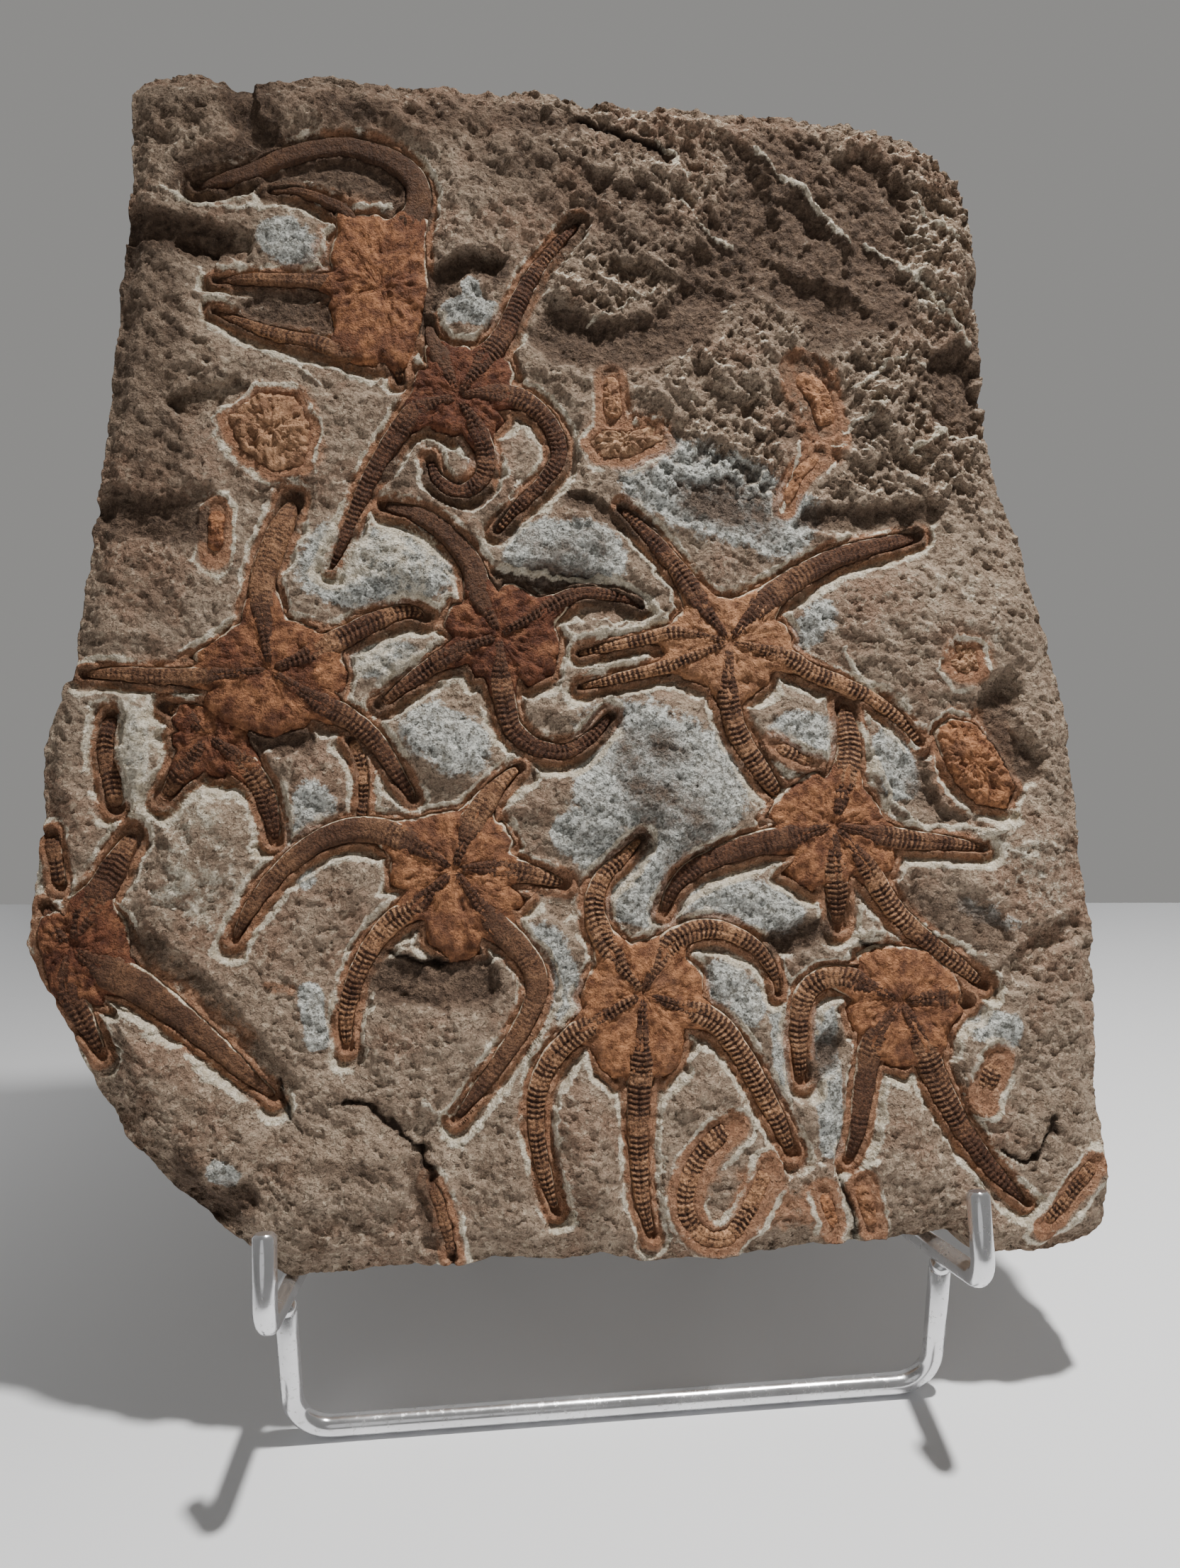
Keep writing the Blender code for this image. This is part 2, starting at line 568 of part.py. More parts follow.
def bent(corners, radius):
    """A path through the corners with each inner corner turned into an arc."""
    path = [Vector(corners[0])]
    for before, corner, after in zip(corners, corners[1:], corners[2:]):
        corner = Vector(corner)
        back = (Vector(before) - corner).normalized()
        on = (Vector(after) - corner).normalized()
        half = back.angle(on) / 2
        centre = corner + (back + on).normalized() * radius / math.sin(half)
        start = corner + back * radius / math.tan(half) - centre
        axis = back.cross(on).normalized()
        turn = -(math.pi - 2 * half)
        for step in range(BEND_STEPS + 1):
            path.append(centre + Matrix.Rotation(turn * step / BEND_STEPS, 3, axis) @ start)
    path.append(Vector(corners[-1]))
    return path


def build_wire(name, path, material, parent):
    curve = bpy.data.curves.new(name, "CURVE")
    curve.dimensions = "3D"
    curve.bevel_depth = WIRE_R * MM
    curve.bevel_resolution = WIRE_SIDES_STEP
    curve.use_fill_caps = True
    spline = curve.splines.new("POLY")
    spline.points.add(len(path) - 1)
    for spot, point in zip(spline.points, path):
        spot.co = (*(point * MM), 1)
        spot.tilt = math.pi / (4 + 2 * WIRE_SIDES_STEP)
    curve.materials.append(material)
    return place(bpy.data.objects.new(name, curve), parent)


def cradle_path():
    """Prong, ledge, back rest, and the same again on the other side, in the slab's frame."""
    side = LEDGE_HALF_SPACING
    ledge = -WIRE_R
    rest = SLAB_BACK - GAP - WIRE_R
    left = bent([(-side, PRONG_TOP, LEDGE_REACH), (-side, ledge, LEDGE_REACH),
                 (-side, ledge, rest / 2)], PRONG_BEND)[:-1]
    back = bent([(-side, ledge, rest / 2), (-side, ledge, rest), (-side, REST_TOP, rest),
                 (0, REST_TOP, rest)], REST_BEND)[1:-1]
    half = left + back
    return half + [Vector((-p.x, p.y, p.z)) for p in reversed(half)]


def slab_to_stand(up, out):
    """Where a place in the slab's frame comes in the upright frame, as (y, z)."""
    y = SLAB_FOOT_Y + up * math.sin(LEAN) - out * math.cos(LEAN)
    z = SLAB_FOOT_Z + up * math.cos(LEAN) + out * math.sin(LEAN)
    return y, z


def front_foot_path(bar_height):
    side = LEDGE_HALF_SPACING
    _, ledge_axis = slab_to_stand(-WIRE_R, 0)
    top = ledge_axis - WIRE_R / math.cos(LEAN) - WIRE_R * math.tan(LEAN) - 2 * GAP
    return bent([(-side, 0, top), (-side, 0, bar_height), (side, 0, bar_height), (side, 0, top)],
                FOOT_BEND)


def rear_foot_path(bar_height):
    side = LEDGE_HALF_SPACING
    behind = SLAB_BACK - GAP - WIRE_R - REAR_FOOT_GAP
    y, z = slab_to_stand(REAR_FOOT_UP, behind)
    back = y + (z - bar_height) * math.tan(REAR_FOOT_SLOPE)
    return bent([(-side, y, z), (-side, back, bar_height), (side, back, bar_height), (side, y, z)],
                FOOT_BEND)


# --- the whole -----------------------------------------------------------------------------------

def centre_on_origin(root):
    """Move the root so that the whole stands on z = 0 with the origin at its middle."""
    bpy.context.view_layer.update()
    depsgraph = bpy.context.evaluated_depsgraph_get()
    spots = []
    for thing in bpy.data.objects:
        if thing.type in {"MESH", "CURVE"}:
            shape = thing.evaluated_get(depsgraph).to_mesh()
            spots += [thing.matrix_world @ vert.co for vert in shape.vertices]
    low = Vector([min(p[axis] for p in spots) for axis in range(3)])
    high = Vector([max(p[axis] for p in spots) for axis in range(3)])
    root.location = (-(low.x + high.x) / 2, -(low.y + high.y) / 2, -low.z)
    print("moved by", tuple(round(v / MM, 3) for v in root.location),
          "size", tuple(round(v / MM, 2) for v in high - low))


def main():
    clear_scene()
    rock = finish("sandstone", ROCK, 0.9, 0.0)
    fossil = finish("fossil_calcite", FOSSIL, 0.8, 0.0)
    chrome = finish("chrome_wire", CHROME, 0.08, 1.0)

    root = frame_empty("display")
    slab_frame = frame_empty("slab_frame", (0, SLAB_FOOT_Y * MM, SLAB_FOOT_Z * MM),
                             math.pi / 2 - LEAN, root)
    build_slab(Relief(), rock, slab_frame)
    for name, spec in STARFISH.items():
        build_starfish(name, spec, fossil, slab_frame)
    for name, spec in ARM_PIECES.items():
        build_arm_piece(name, spec, fossil, slab_frame)
    for name, spec in DISC_PATCHES.items():
        build_disc_patch(name, spec, fossil, slab_frame)

    build_wire("stand_cradle", cradle_path(), chrome, slab_frame)
    bar_height = WIRE_R * math.cos(math.pi / (4 + 2 * WIRE_SIDES_STEP))
    build_wire("stand_front_foot", front_foot_path(bar_height), chrome, root)
    build_wire("stand_rear_foot", rear_foot_path(bar_height), chrome, root)
    centre_on_origin(root)


main()
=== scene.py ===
# %% [markdown]
# # A slab of fossil starfish on a wire stand
# The object is a slab of sandstone, broken by hand to a rough rectangle, in which a crowd of
# fossil starfish was uncovered with a needle. The slab leans back on a stand bent from chromed
# wire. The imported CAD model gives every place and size; this script gives the same things their
# relief, their ribs and their finishes.

# %% Load the frame
import math

import bmesh
import bpy
import numpy as np
from mathutils import Matrix, Vector, noise


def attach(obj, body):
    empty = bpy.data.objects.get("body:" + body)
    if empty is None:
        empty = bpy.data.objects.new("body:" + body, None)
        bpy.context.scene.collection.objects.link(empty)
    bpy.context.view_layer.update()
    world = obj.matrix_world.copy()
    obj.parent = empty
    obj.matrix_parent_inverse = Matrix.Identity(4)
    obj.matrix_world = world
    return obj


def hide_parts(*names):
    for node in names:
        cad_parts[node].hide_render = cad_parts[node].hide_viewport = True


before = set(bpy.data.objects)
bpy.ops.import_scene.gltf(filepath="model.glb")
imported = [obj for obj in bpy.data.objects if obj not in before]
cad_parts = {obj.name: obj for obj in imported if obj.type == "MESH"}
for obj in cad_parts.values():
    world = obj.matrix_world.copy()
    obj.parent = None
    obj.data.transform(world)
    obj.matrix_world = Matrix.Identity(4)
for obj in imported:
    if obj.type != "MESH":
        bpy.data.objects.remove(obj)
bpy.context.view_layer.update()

# %% [markdown]
# ## The slab's own frame
# Everything on the slab is given in millimetres as if the slab lay flat: x across, y up the face
# from the wire that it stands on, z out of the face. One matrix then leans it back on the stand.
# Working flat is easier than working on a slope, and the matrix is used once, at the end of each
# piece, so that every finished object sits at the origin with its place in its mesh.

# %% Slab frame and the one function that finishes a piece
MM = 0.001
LEAN = math.radians(20.9)
SLAB_FOOT = Vector((7.78, -60.489, 46.691)) * MM
SLAB_TO_WORLD = (Matrix.Translation(SLAB_FOOT)
                 @ Matrix.Rotation(math.radians(90) - LEAN, 4, "X") @ Matrix.Scale(MM, 4))
UPRIGHT = Matrix.Scale(MM, 4)
MERGE = 0.002            # vertices closer than this, in mm, become one
FLAT_CUT = 20            # a face with this many corners or more is a flat cut


def finish_piece(name, bm, material, node=None, to_world=SLAB_TO_WORLD):
    """Merge doubles, lean the mesh back, shade all but its flat cuts smooth, and let it ride."""
    bmesh.ops.remove_doubles(bm, verts=bm.verts, dist=MERGE)
    bmesh.ops.recalc_face_normals(bm, faces=bm.faces)
    bmesh.ops.transform(bm, matrix=to_world, verts=bm.verts)
    for face in bm.faces:
        face.smooth = len(face.verts) < FLAT_CUT
    for edge in bm.edges:
        edge.smooth = all(face.smooth for face in edge.link_faces)
    mesh = bpy.data.meshes.new(name)
    bm.to_mesh(mesh)
    bm.free()
    mesh.materials.append(material)
    piece = bpy.data.objects.new(name, mesh)
    bpy.context.scene.collection.objects.link(piece)
    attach(piece, "root")
    if node:
        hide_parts(node)
    print(name, sum(len(face.vertices) - 2 for face in mesh.polygons), "triangles")


# %% [markdown]
# ## Camera
# The camera stands a little left of the middle and above the slab, looks down by 14 degrees and
# is turned a little to the right. Its place is measured from the stand's front bar, so it's
# written as a point and three angles instead of being aimed at an object. The frame is upright,
# so the sensor's 36 mm go with its height.

# %% Camera
FOCAL_PIXELS, FRAME_HEIGHT, SENSOR = 1668.6, 2212, 36
CAMERA_PLACE = Vector((-26.19, -326.70, 241.65)) * MM
YAW, PITCH, ROLL = (math.radians(angle) for angle in (-5.57, -14.06, -0.08))
camera = bpy.data.objects.new("camera", bpy.data.cameras.new("camera"))
camera.data.lens = SENSOR * FOCAL_PIXELS / FRAME_HEIGHT
camera.data.sensor_width = SENSOR
camera.data.clip_start = 0.01
camera.location = CAMERA_PLACE
camera.rotation_euler = (Matrix.Rotation(YAW, 3, "Z")
                         @ Matrix.Rotation(math.radians(90) + PITCH, 3, "X")
                         @ Matrix.Rotation(ROLL, 3, "Z")).to_euler()
bpy.context.scene.collection.objects.link(camera)
bpy.context.scene.camera = camera
print("lens, mm:", round(camera.data.lens, 2))

# %% [markdown]
# ## Where the starfish lie
# Each starfish is a disc with arms. A row gives the level of the pocket that it lies in, how high
# its disc stands, the disc's centre, its arms (half widths at the root and the tip, then the
# line of the arm from the disc out) and, after each arm, the disc's edge up to the next. The lines
# become smooth curves later, so a few points for each arm are enough.

# %% Starfish tables
STARFISH = {
    "starfish_1": (-5.0, 4.6, (-58, 268), [
        (3.6, 2.0, [(-50, 287), (-47, 294), (-48, 302), (-56, 308.5), (-69, 311.5), (-83, 308.5),
                    (-96, 302.5), (-109, 299)]),
        (1.7, 1.0, [(-66, 289), (-73, 294.5), (-81, 297.5), (-89, 298)]),
        (2.2, 1.2, [(-71, 270), (-82, 270.5), (-94, 271), (-104, 270.5)]),
        (2.4, 1.2, [(-66, 250), (-76, 252), (-87, 254.5), (-97, 258), (-104, 261.5)]),
        (2.4, 1.5, [(-54, 248), (-53, 241.5)])],
        [[(-58, 291)], [(-71, 284), (-73, 277)], [(-73, 264), (-71, 256)], [(-60, 244.5)],
         [(-47, 256), (-44.5, 270), (-45, 282)]]),
    "starfish_2": (-4.8, 4.4, (-37, 236), [
        (3.2, 1.2, [(-29, 247), (-23, 256), (-19, 265), (-14, 274), (-8, 282), (-1, 290)]),
        (3.0, 1.8, [(-41, 247), (-44, 254), (-44.5, 259)]),
        (3.0, 1.2, [(-48, 232), (-55, 224), (-61, 214), (-66, 203), (-70, 193), (-73, 187)]),
        (2.8, 1.6, [(-32, 227), (-29.5, 219), (-31, 212), (-37, 208.5), (-43, 212), (-45, 218.5)]),
        (3.0, 1.4, [(-26, 237), (-18, 235), (-11, 228), (-9, 219), (-13, 212), (-20, 205),
                    (-27, 197.5)])],
        [[(-33, 252), (-37, 252)], [(-49, 244), (-50, 238)], [(-45, 227), (-38, 224)],
         [(-27, 225), (-23, 230)], [(-20, 242), (-22, 248)]]),
    "starfish_3": (-4.4, 4.6, (-89, 158), [
        (3.2, 2.0, [(-77, 163), (-70, 167), (-61, 171.5), (-52, 174.5), (-47.5, 173)]),
        (3.4, 3.0, [(-91, 176), (-91, 184), (-88.5, 192), (-85.5, 200), (-83, 206.5)]),
        (2.5, 1.6, [(-105, 157), (-116, 157), (-128, 158), (-138, 158.5)]),
        (3.0, 1.8, [(-76, 149), (-68, 144.5), (-61, 138), (-55.5, 129), (-51.5, 123)])],
        [[(-76, 170), (-85, 173)], [(-97, 172), (-104, 167), (-112, 162)],
         [(-108, 150), (-100, 143), (-90, 140), (-80, 142)], [(-70, 151), (-68, 157), (-70, 163)]]),
    "starfish_4": (-5.6, 3.6, (-106, 141), [
        (2.8, 2.0, [(-111, 146), (-117, 149.5)]),
        (3.0, 2.6, [(-110, 134.5), (-114.5, 129), (-118, 124.5)]),
        (3.0, 2.4, [(-97, 134), (-92, 127), (-89.5, 119), (-88.5, 112.5)])],
        [[(-116, 142), (-115, 138)], [(-106, 130), (-101, 129)],
         [(-94, 138), (-96, 145), (-104, 149)]]),
    "starfish_5": (-4.8, 4.2, (-27, 167), [
        (2.4, 1.0, [(-14, 174.5), (-5, 178.8), (5, 178.3), (13, 175)]),
        (3.3, 2.0, [(-32, 178), (-34, 187), (-39.5, 195), (-47, 201), (-58, 205)]),
        (2.6, 1.8, [(-38, 163), (-45, 159.5), (-52, 154.5), (-60, 148.5)]),
        (3.0, 1.6, [(-27, 156), (-26, 148), (-24, 141), (-18, 135.8), (-10, 134.5), (-3, 138),
                    (3, 144.5)])],
        [[(-20, 181), (-26, 183)], [(-40, 177), (-43, 170)], [(-34, 155)],
         [(-20, 152), (-12, 156), (-10, 166)]]),
    "starfish_6": (-4.4, 4.6, (37, 164), [
        (3.6, 2.0, [(46, 174), (53, 179.5), (61, 184.5), (70, 188.8), (82, 192), (94, 195)]),
        (3.0, 1.6, [(29, 176), (24.5, 184), (18.5, 192), (13, 198.5), (8.5, 203.5)]),
        (1.8, 1.2, [(22, 167), (12, 165.2), (2, 163.2), (-5, 162)]),
        (1.8, 1.2, [(22, 158.5), (12, 156), (3, 154), (-5, 152.5)]),
        (3.0, 2.4, [(36, 151), (37, 143), (40, 135), (45, 127), (50, 120.5)]),
        (2.6, 1.4, [(52, 160), (60, 155.5), (69, 151.8), (78, 147), (86, 140.5), (91, 134.5)])],
        [[(37, 177)], [(22, 172)], [(16, 162)], [(24, 154), (31, 151)], [(41, 147), (48, 152)],
         [(56, 165), (53, 171)]]),
    "starfish_7": (-4.6, 4.4, (64, 112), [
        (3.0, 1.5, [(76, 109), (86, 107.3), (97, 106), (107, 104.5)]),
        (3.4, 3.0, [(68, 124), (70, 133), (70, 141), (70, 146.5)]),
        (3.4, 1.8, [(52, 109), (42, 107.5), (32, 104.5), (24, 101), (18.5, 96), (15.5, 89.5)]),
        (3.2, 2.8, [(63.5, 101), (64, 93), (64, 84.5)]),
        (3.0, 2.0, [(72, 101), (77, 92.5), (82, 85.5), (89, 79), (97, 72.5), (104, 67)])],
        [[(79, 113), (76, 120)], [(60, 128), (50, 122), (44, 114)], [(48, 99), (58, 93)],
         [(69, 98)],
         [(80, 98), (82, 103)]]),
    "starfish_8": (-4.6, 4.6, (-41, 103), [
        (3.0, 2.0, [(-29, 103), (-20, 101), (-11.5, 98.2)]),
        (3.6, 1.6, [(-36, 115), (-31, 122.5), (-26, 128), (-22.5, 130.3)]),
        (3.6, 1.6, [(-54, 111.5), (-64, 114.5), (-74, 113), (-83, 107.5), (-90, 100.5),
                    (-95.5, 93), (-99, 86.5)]),
        (2.8, 1.8, [(-51, 94), (-58, 89.5), (-63.5, 83), (-67.5, 75), (-70, 66), (-70, 57.5)]),
        (3.4, 1.6, [(-31, 89), (-25, 82.5), (-20.5, 76), (-20, 69), (-24, 60.5), (-30.5, 51.5),
                    (-37, 43.5), (-42, 37.5)])],
        [[(-24, 109), (-28, 117)], [(-40, 119.5), (-47, 118.5)], [(-58, 107), (-58, 99)],
         [(-49, 84), (-42, 78.5), (-34, 80)], [(-24, 91), (-20, 95)]]),
    "starfish_9": (-4.4, 4.8, (8.5, 68), [
        (3.0, 2.2, [(22, 63), (29, 59), (34.5, 51.5), (39.5, 42), (44, 32.5), (47.5, 24.5)]),
        (3.2, 1.2, [(15, 79), (20, 83), (27, 84.8), (34.5, 83), (41, 78.5), (45, 72), (46, 66.5)]),
        (3.2, 1.4, [(1, 79), (-2.5, 86), (-3.5, 93), (-1, 99.5), (4.5, 104.5), (10, 110)]),
        (3.0, 1.5, [(-5, 61), (-12, 56.5), (-17.5, 50.5), (-20.5, 43), (-21, 34), (-19.5, 24),
                    (-16.5, 13)]),
        (3.2, 1.6, [(7.5, 50), (6.5, 41), (6, 32), (6, 23), (6.5, 14), (8.5, 5)])],
        [[(26, 66), (25, 73), (20, 79)], [(8, 82.5)], [(-5, 76), (-8.5, 68)],
         [(-7, 56), (-4, 49), (1, 44.5)],
         [(13, 44.5), (18, 49), (20, 55)]]),
    "starfish_10": (-4.8, 4.4, (80, 63), [
        (4.0, 2.2, [(93, 64), (99, 62)]),
        (3.0, 2.2, [(68, 69), (60, 70.5), (54, 67), (51.5, 60), (51, 51.5), (51.5, 43.5)]),
        (3.2, 2.0, [(72, 54), (69.5, 46), (67.5, 37), (65.5, 28), (63, 21.5)]),
        (3.8, 1.5, [(85, 52), (88, 43), (92, 34), (97, 25), (104, 15.5), (112, 7.8)])],
        [[(97, 70), (88, 77), (76, 79), (68, 77)], [(64, 62), (66, 55)],
         [(74, 46), (80, 44), (84, 47)],
         [(92, 48), (94, 55), (99, 60)]]),
    "starfish_11": (-5.0, 4.4, (-140, 86), [
        (4.0, 2.8, [(-136, 95), (-131.5, 103), (-128, 110), (-125, 115.5)]),
        (2.6, 1.8, [(-145, 92), (-147, 97)]),
        (3.0, 2.0, [(-141, 77), (-138, 70), (-134.5, 62.5), (-132.5, 58.5)]),
        (4.4, 1.6, [(-131, 80), (-122, 74.5), (-113, 67.5), (-104, 59.5), (-96, 52),
                    (-89, 45.5)])],
        [[(-141, 98)], [(-149, 88), (-147, 82)], [(-136, 71), (-131, 70)],
         [(-125, 83), (-126, 92), (-130, 97)]])}
print(len(STARFISH), "starfish with", sum(len(row[3]) for row in STARFISH.values()), "arms")

# %% [markdown]
# Loose lengths of arm lie between the starfish, and three discs are crumbled to a patch. They
# have the same kind of row. The slight ones have no solid of their own in the CAD model: they're
# too faint for it, and lie on the slab as thin pieces.

# %% Loose arms and crumbled discs
ARM_PIECES = {
    "arm_piece_1": (-3.6, 3.0, 2.6, 2.2, [(31, 33), (24, 27.5), (19, 20), (17.5, 12), (21, 5.5),
                                          (28, 4), (33, 9), (37, 15.5), (40, 22)]),
    "arm_piece_2": (-4.0, 2.8, 2.6, 2.6, [(105.5, 47), (103, 42), (100.5, 36.5)]),
    "arm_piece_3": (-4.0, 2.8, 2.0, 1.6, [(131, 18), (126, 13), (119.5, 6.5), (115, 2)]),
    "arm_piece_4": (-4.4, 2.6, 1.6, 1.4, [(-49, 22.5), (-46.5, 16), (-44.8, 9), (-43.8, 3)]),
    "arm_piece_5": (-4.4, 3.2, 2.4, 2.2, [(65.5, 15.5), (66.5, 10), (68, 4.5)]),
    "arm_piece_6": (-4.4, 2.8, 1.8, 1.8, [(55, 14), (57.5, 4)]),
    "arm_piece_7": (-5.0, 3.4, 2.4, 2.0, [(-129.5, 122.5), (-130.5, 129), (-132.5, 138),
                                          (-131, 147)]),
    "arm_piece_8": (-4.4, 3.2, 1.7, 1.7, [(48, 135), (54, 131.5), (59.5, 129)]),
    "arm_piece_9": (-4.8, 3.0, 2.0, 1.8, [(-146, 115.5), (-144.5, 108), (-143.5, 102)]),
    "arm_piece_10": (-4.0, 3.4, 3.0, 2.4, [(7, 229), (6.5, 236), (6.5, 242)]),
    "arm_piece_11": (-4.4, 3.4, 4.0, 3.4, [(62, 244), (67, 236), (69, 227)]),
    "arm_piece_12": (-4.0, 3.0, 2.0, 1.8, [(66, 219), (59, 212), (55, 203)])}
SLIGHT_ARMS = {
    "slight_arm_1": (-4.4, 3.2, 2.5, 2.2, [(-103, 203), (-103.5, 191)]),
    "slight_arm_2": (-4.4, 2.8, 1.6, 1.4, [(-68, 139), (-65, 132), (-65, 122), (-66, 114)])}
DISC_PATCHES = {
    "disc_patch_1": (-4.8, 4.6, [(95, 137.5), (96.5, 129.5), (100.5, 122.5), (106, 116.5),
                                 (115, 115), (118, 121), (113, 132), (107, 140), (99.5, 142)]),
    "disc_patch_2": (-4.0, 3.8, [(-101, 229), (-97, 220), (-88, 213), (-79, 215), (-77, 226),
                                 (-81, 236), (-92, 237)]),
    "disc_patch_3": (-4.0, 3.4, [(-1, 222), (2, 217.5), (11, 217), (22, 223), (20, 227.5),
                                 (11, 225.5), (3, 226)])}
SLIGHT_PATCHES = {
    "slight_patch_1": (-3.4, 3.0, [(99, 157), (103, 153), (109, 155), (108, 161), (102, 162.5)])}
print(len(ARM_PIECES | SLIGHT_ARMS), "loose arms,", len(DISC_PATCHES | SLIGHT_PATCHES), "patches")

# %% [markdown]
# ## Smooth lines and soft steps
# An arm is drawn as a Catmull-Rom line, which passes through its points, cut into stations at
# equal steps. Equal steps matter later, because each rib of an arm takes the same number of them.

# %% Line helpers
SPAN_CUTS = 16           # straight bits that stand for the curve between two points


def smoothstep(x):
    x = np.clip(x, 0, 1)
    return x * x * (3 - 2 * x)


def at_lengths(stops, run, line):
    """The places on a line at the given lengths along it."""
    return np.column_stack([np.interp(stops, run, line[:, 0]), np.interp(stops, run, line[:, 1])])


def smooth_line(points, step):
    """Stations about a step apart along a Catmull-Rom line, with the length run to each."""
    knots = np.array([points[0], *points, points[-1]], float)
    t = np.linspace(0, 1, SPAN_CUTS, endpoint=False)[:, None]
    spans = [0.5 * (2 * b + (c - a) * t + (2 * a - 5 * b + 4 * c - d) * t ** 2
                    + (3 * b - a - 3 * c + d) * t ** 3)
             for a, b, c, d in zip(knots, knots[1:], knots[2:], knots[3:])]
    fine = np.vstack([*spans, knots[-1:]])
    run = np.concatenate([[0], np.cumsum(np.linalg.norm(np.diff(fine, axis=0), axis=1))])
    stops = np.linspace(0, run[-1], max(4, round(run[-1] / step)) + 1)
    return at_lengths(stops, run, fine), stops


def sideways(stations):
    """A step of 1 mm to the left at each station of a line."""
    ahead = np.gradient(stations, axis=0)
    return np.column_stack([-ahead[:, 1], ahead[:, 0]]) / np.linalg.norm(ahead, axis=1)[:, None]


outer_arm, run = smooth_line(STARFISH["starfish_9"][3][4][2], 2.0)
print("longest straight arm:", round(float(run[-1]), 1), "mm in", len(outer_arm), "stations")

# %% [markdown]
# ## Roughness of rock
# Broken rock has lumps on its lumps. Layers of Perlin noise give that: each layer is about twice
# as fine as the last and half as strong. Folding each layer at zero makes sharp crests with soft
# valleys between them, as flaked rock has. Every call has a seed of its own, so a run always
# gives the same rock.

# %% Noise helpers
NOISE_CELLS = 256        # the pattern comes again after so many lumps
FINER, FAINTER = 2.1, 0.52
CREASE = 3.3


def gradient_noise(spots, seed):
    """Perlin noise: a random slope at each whole number, blended in between."""
    turns = np.random.default_rng(seed).random((NOISE_CELLS, NOISE_CELLS)) * 2 * math.pi
    cell = np.floor(spots).astype(int)
    inside = spots - cell
    fade = inside ** 3 * (inside * (inside * 6 - 15) + 10)
    total = np.zeros(len(spots))
    for i in (0, 1):
        for j in (0, 1):
            turn = turns[(cell[:, 0] + i) % NOISE_CELLS, (cell[:, 1] + j) % NOISE_CELLS]
            slope = np.cos(turn) * (inside[:, 0] - i) + np.sin(turn) * (inside[:, 1] - j)
            weight = abs(1 - i - fade[:, 0]) * abs(1 - j - fade[:, 1])
            total += weight * slope
    return 1.5 * total


def layers_of_noise(places, size, seed, octaves):
    """Each layer of noise with its strength; the first has lumps of the given size in mm."""
    return [(gradient_noise(places * (FINER ** octave / size), 100 * seed + octave),
             FAINTER ** octave) for octave in range(octaves)]


def roughness(places, size, seed, octaves=3):
    """Fractal noise at each place, about -1 to 1."""
    return sum(layer * strength for layer, strength in layers_of_noise(places, size, seed, octaves))


def creased(places, size, seed, octaves=3):
    """Fractal noise with sharp crests at 1 and soft valleys; its mean is about 0."""
    return sum((1 - CREASE * np.abs(layer)) * strength
               for layer, strength in layers_of_noise(places, size, seed, octaves))


print("roughness at three places:", roughness(np.array([(3, 4), (9, 1), (5, 8)]), 10, 1).round(2))


# %% [markdown]
# ## Clearance from the fossils
# The matrix of a prepared fossil is cut away round each animal, so its height depends mostly on
# how far a place is from the nearest fossil. The distance is worked out exactly: from each short
# length of arm as a tapered capsule, and from each disc as a polygon. Only the places near
# a shape are asked, which keeps a quarter of a million places quick.

# %% Distances
def near_places(places, low, high, reach):
    return np.nonzero(((places > low - reach) & (places < high + reach)).all(axis=1))[0]


def from_capsule(places, a, b, wide_a, wide_b, reach):
    """The places near a capsule, and how far each is from its edge."""
    near = near_places(places, np.minimum(a, b), np.maximum(a, b), reach + max(wide_a, wide_b))
    along = np.clip((places[near] - a) @ (b - a) / max((b - a) @ (b - a), 1e-9), 0, 1)
    away = np.linalg.norm(places[near] - a - along[:, None] * (b - a), axis=1)
    return near, away - wide_a - (wide_b - wide_a) * along


def from_polygon(places, loop, reach):
    """The places near a polygon, and how far each is from its edge: less than 0 inside it."""
    loop = np.array(loop, float)
    near = near_places(places, loop.min(axis=0), loop.max(axis=0), reach)
    inside = np.zeros(len(near), bool)
    away = np.full(len(near), 1e3)
    spots = places[near]
    for a, b in zip(loop, np.roll(loop, -1, axis=0)):
        along = np.clip((spots - a) @ (b - a) / ((b - a) @ (b - a)), 0, 1)
        away = np.minimum(away, np.linalg.norm(spots - a - along[:, None] * (b - a), axis=1))
        crosses = (a[1] > spots[:, 1]) != (b[1] > spots[:, 1])
        inside ^= crosses & (spots[:, 0] < a[0] + (b[0] - a[0]) * (spots[:, 1] - a[1])
                             / (b[1] - a[1] if b[1] != a[1] else 1e-9))
    return near, np.where(inside, -away, away)


square = [(0, 0), (10, 0), (10, 10), (0, 10)]
print("from the middle of a 10 mm square:", from_polygon(np.array([(5, 5)]), square, 9)[1], "mm")


# %% [markdown]
# Some fossils are crumbled or barely uncovered. They lie in shallow pockets, so their bed and
# their backs are raised, while their row keeps the levels of the CAD solids.

# %% Clearance of every place from every fossil
CRUMBLED_ARMS = ("arm_piece_5", "arm_piece_6", "arm_piece_10", "arm_piece_11", "arm_piece_12",
                 "slight_arm_1")
SHALLOW = (*CRUMBLED_ARMS, "arm_piece_1", "arm_piece_2", "arm_piece_3", "arm_piece_4",
           "arm_piece_8", "disc_patch_2", "disc_patch_3", "slight_patch_1")
RAISED_FLOOR, RAISED_CREST, RAISED_DISC = 3.0, 2.3, 1.6     # of the shallow ones, in mm
REACH, OPEN_FLOOR = 16.0, -4.5
FULL_ARM = 1.14          # the arms are a little fuller than their solids, as ribs stand out
SKIN = 7.0               # how far a disc's skin runs out along each arm
SKIN_ROOT, SKIN_END = 1.6, 1.05      # half widths of the skin, against the arm's own


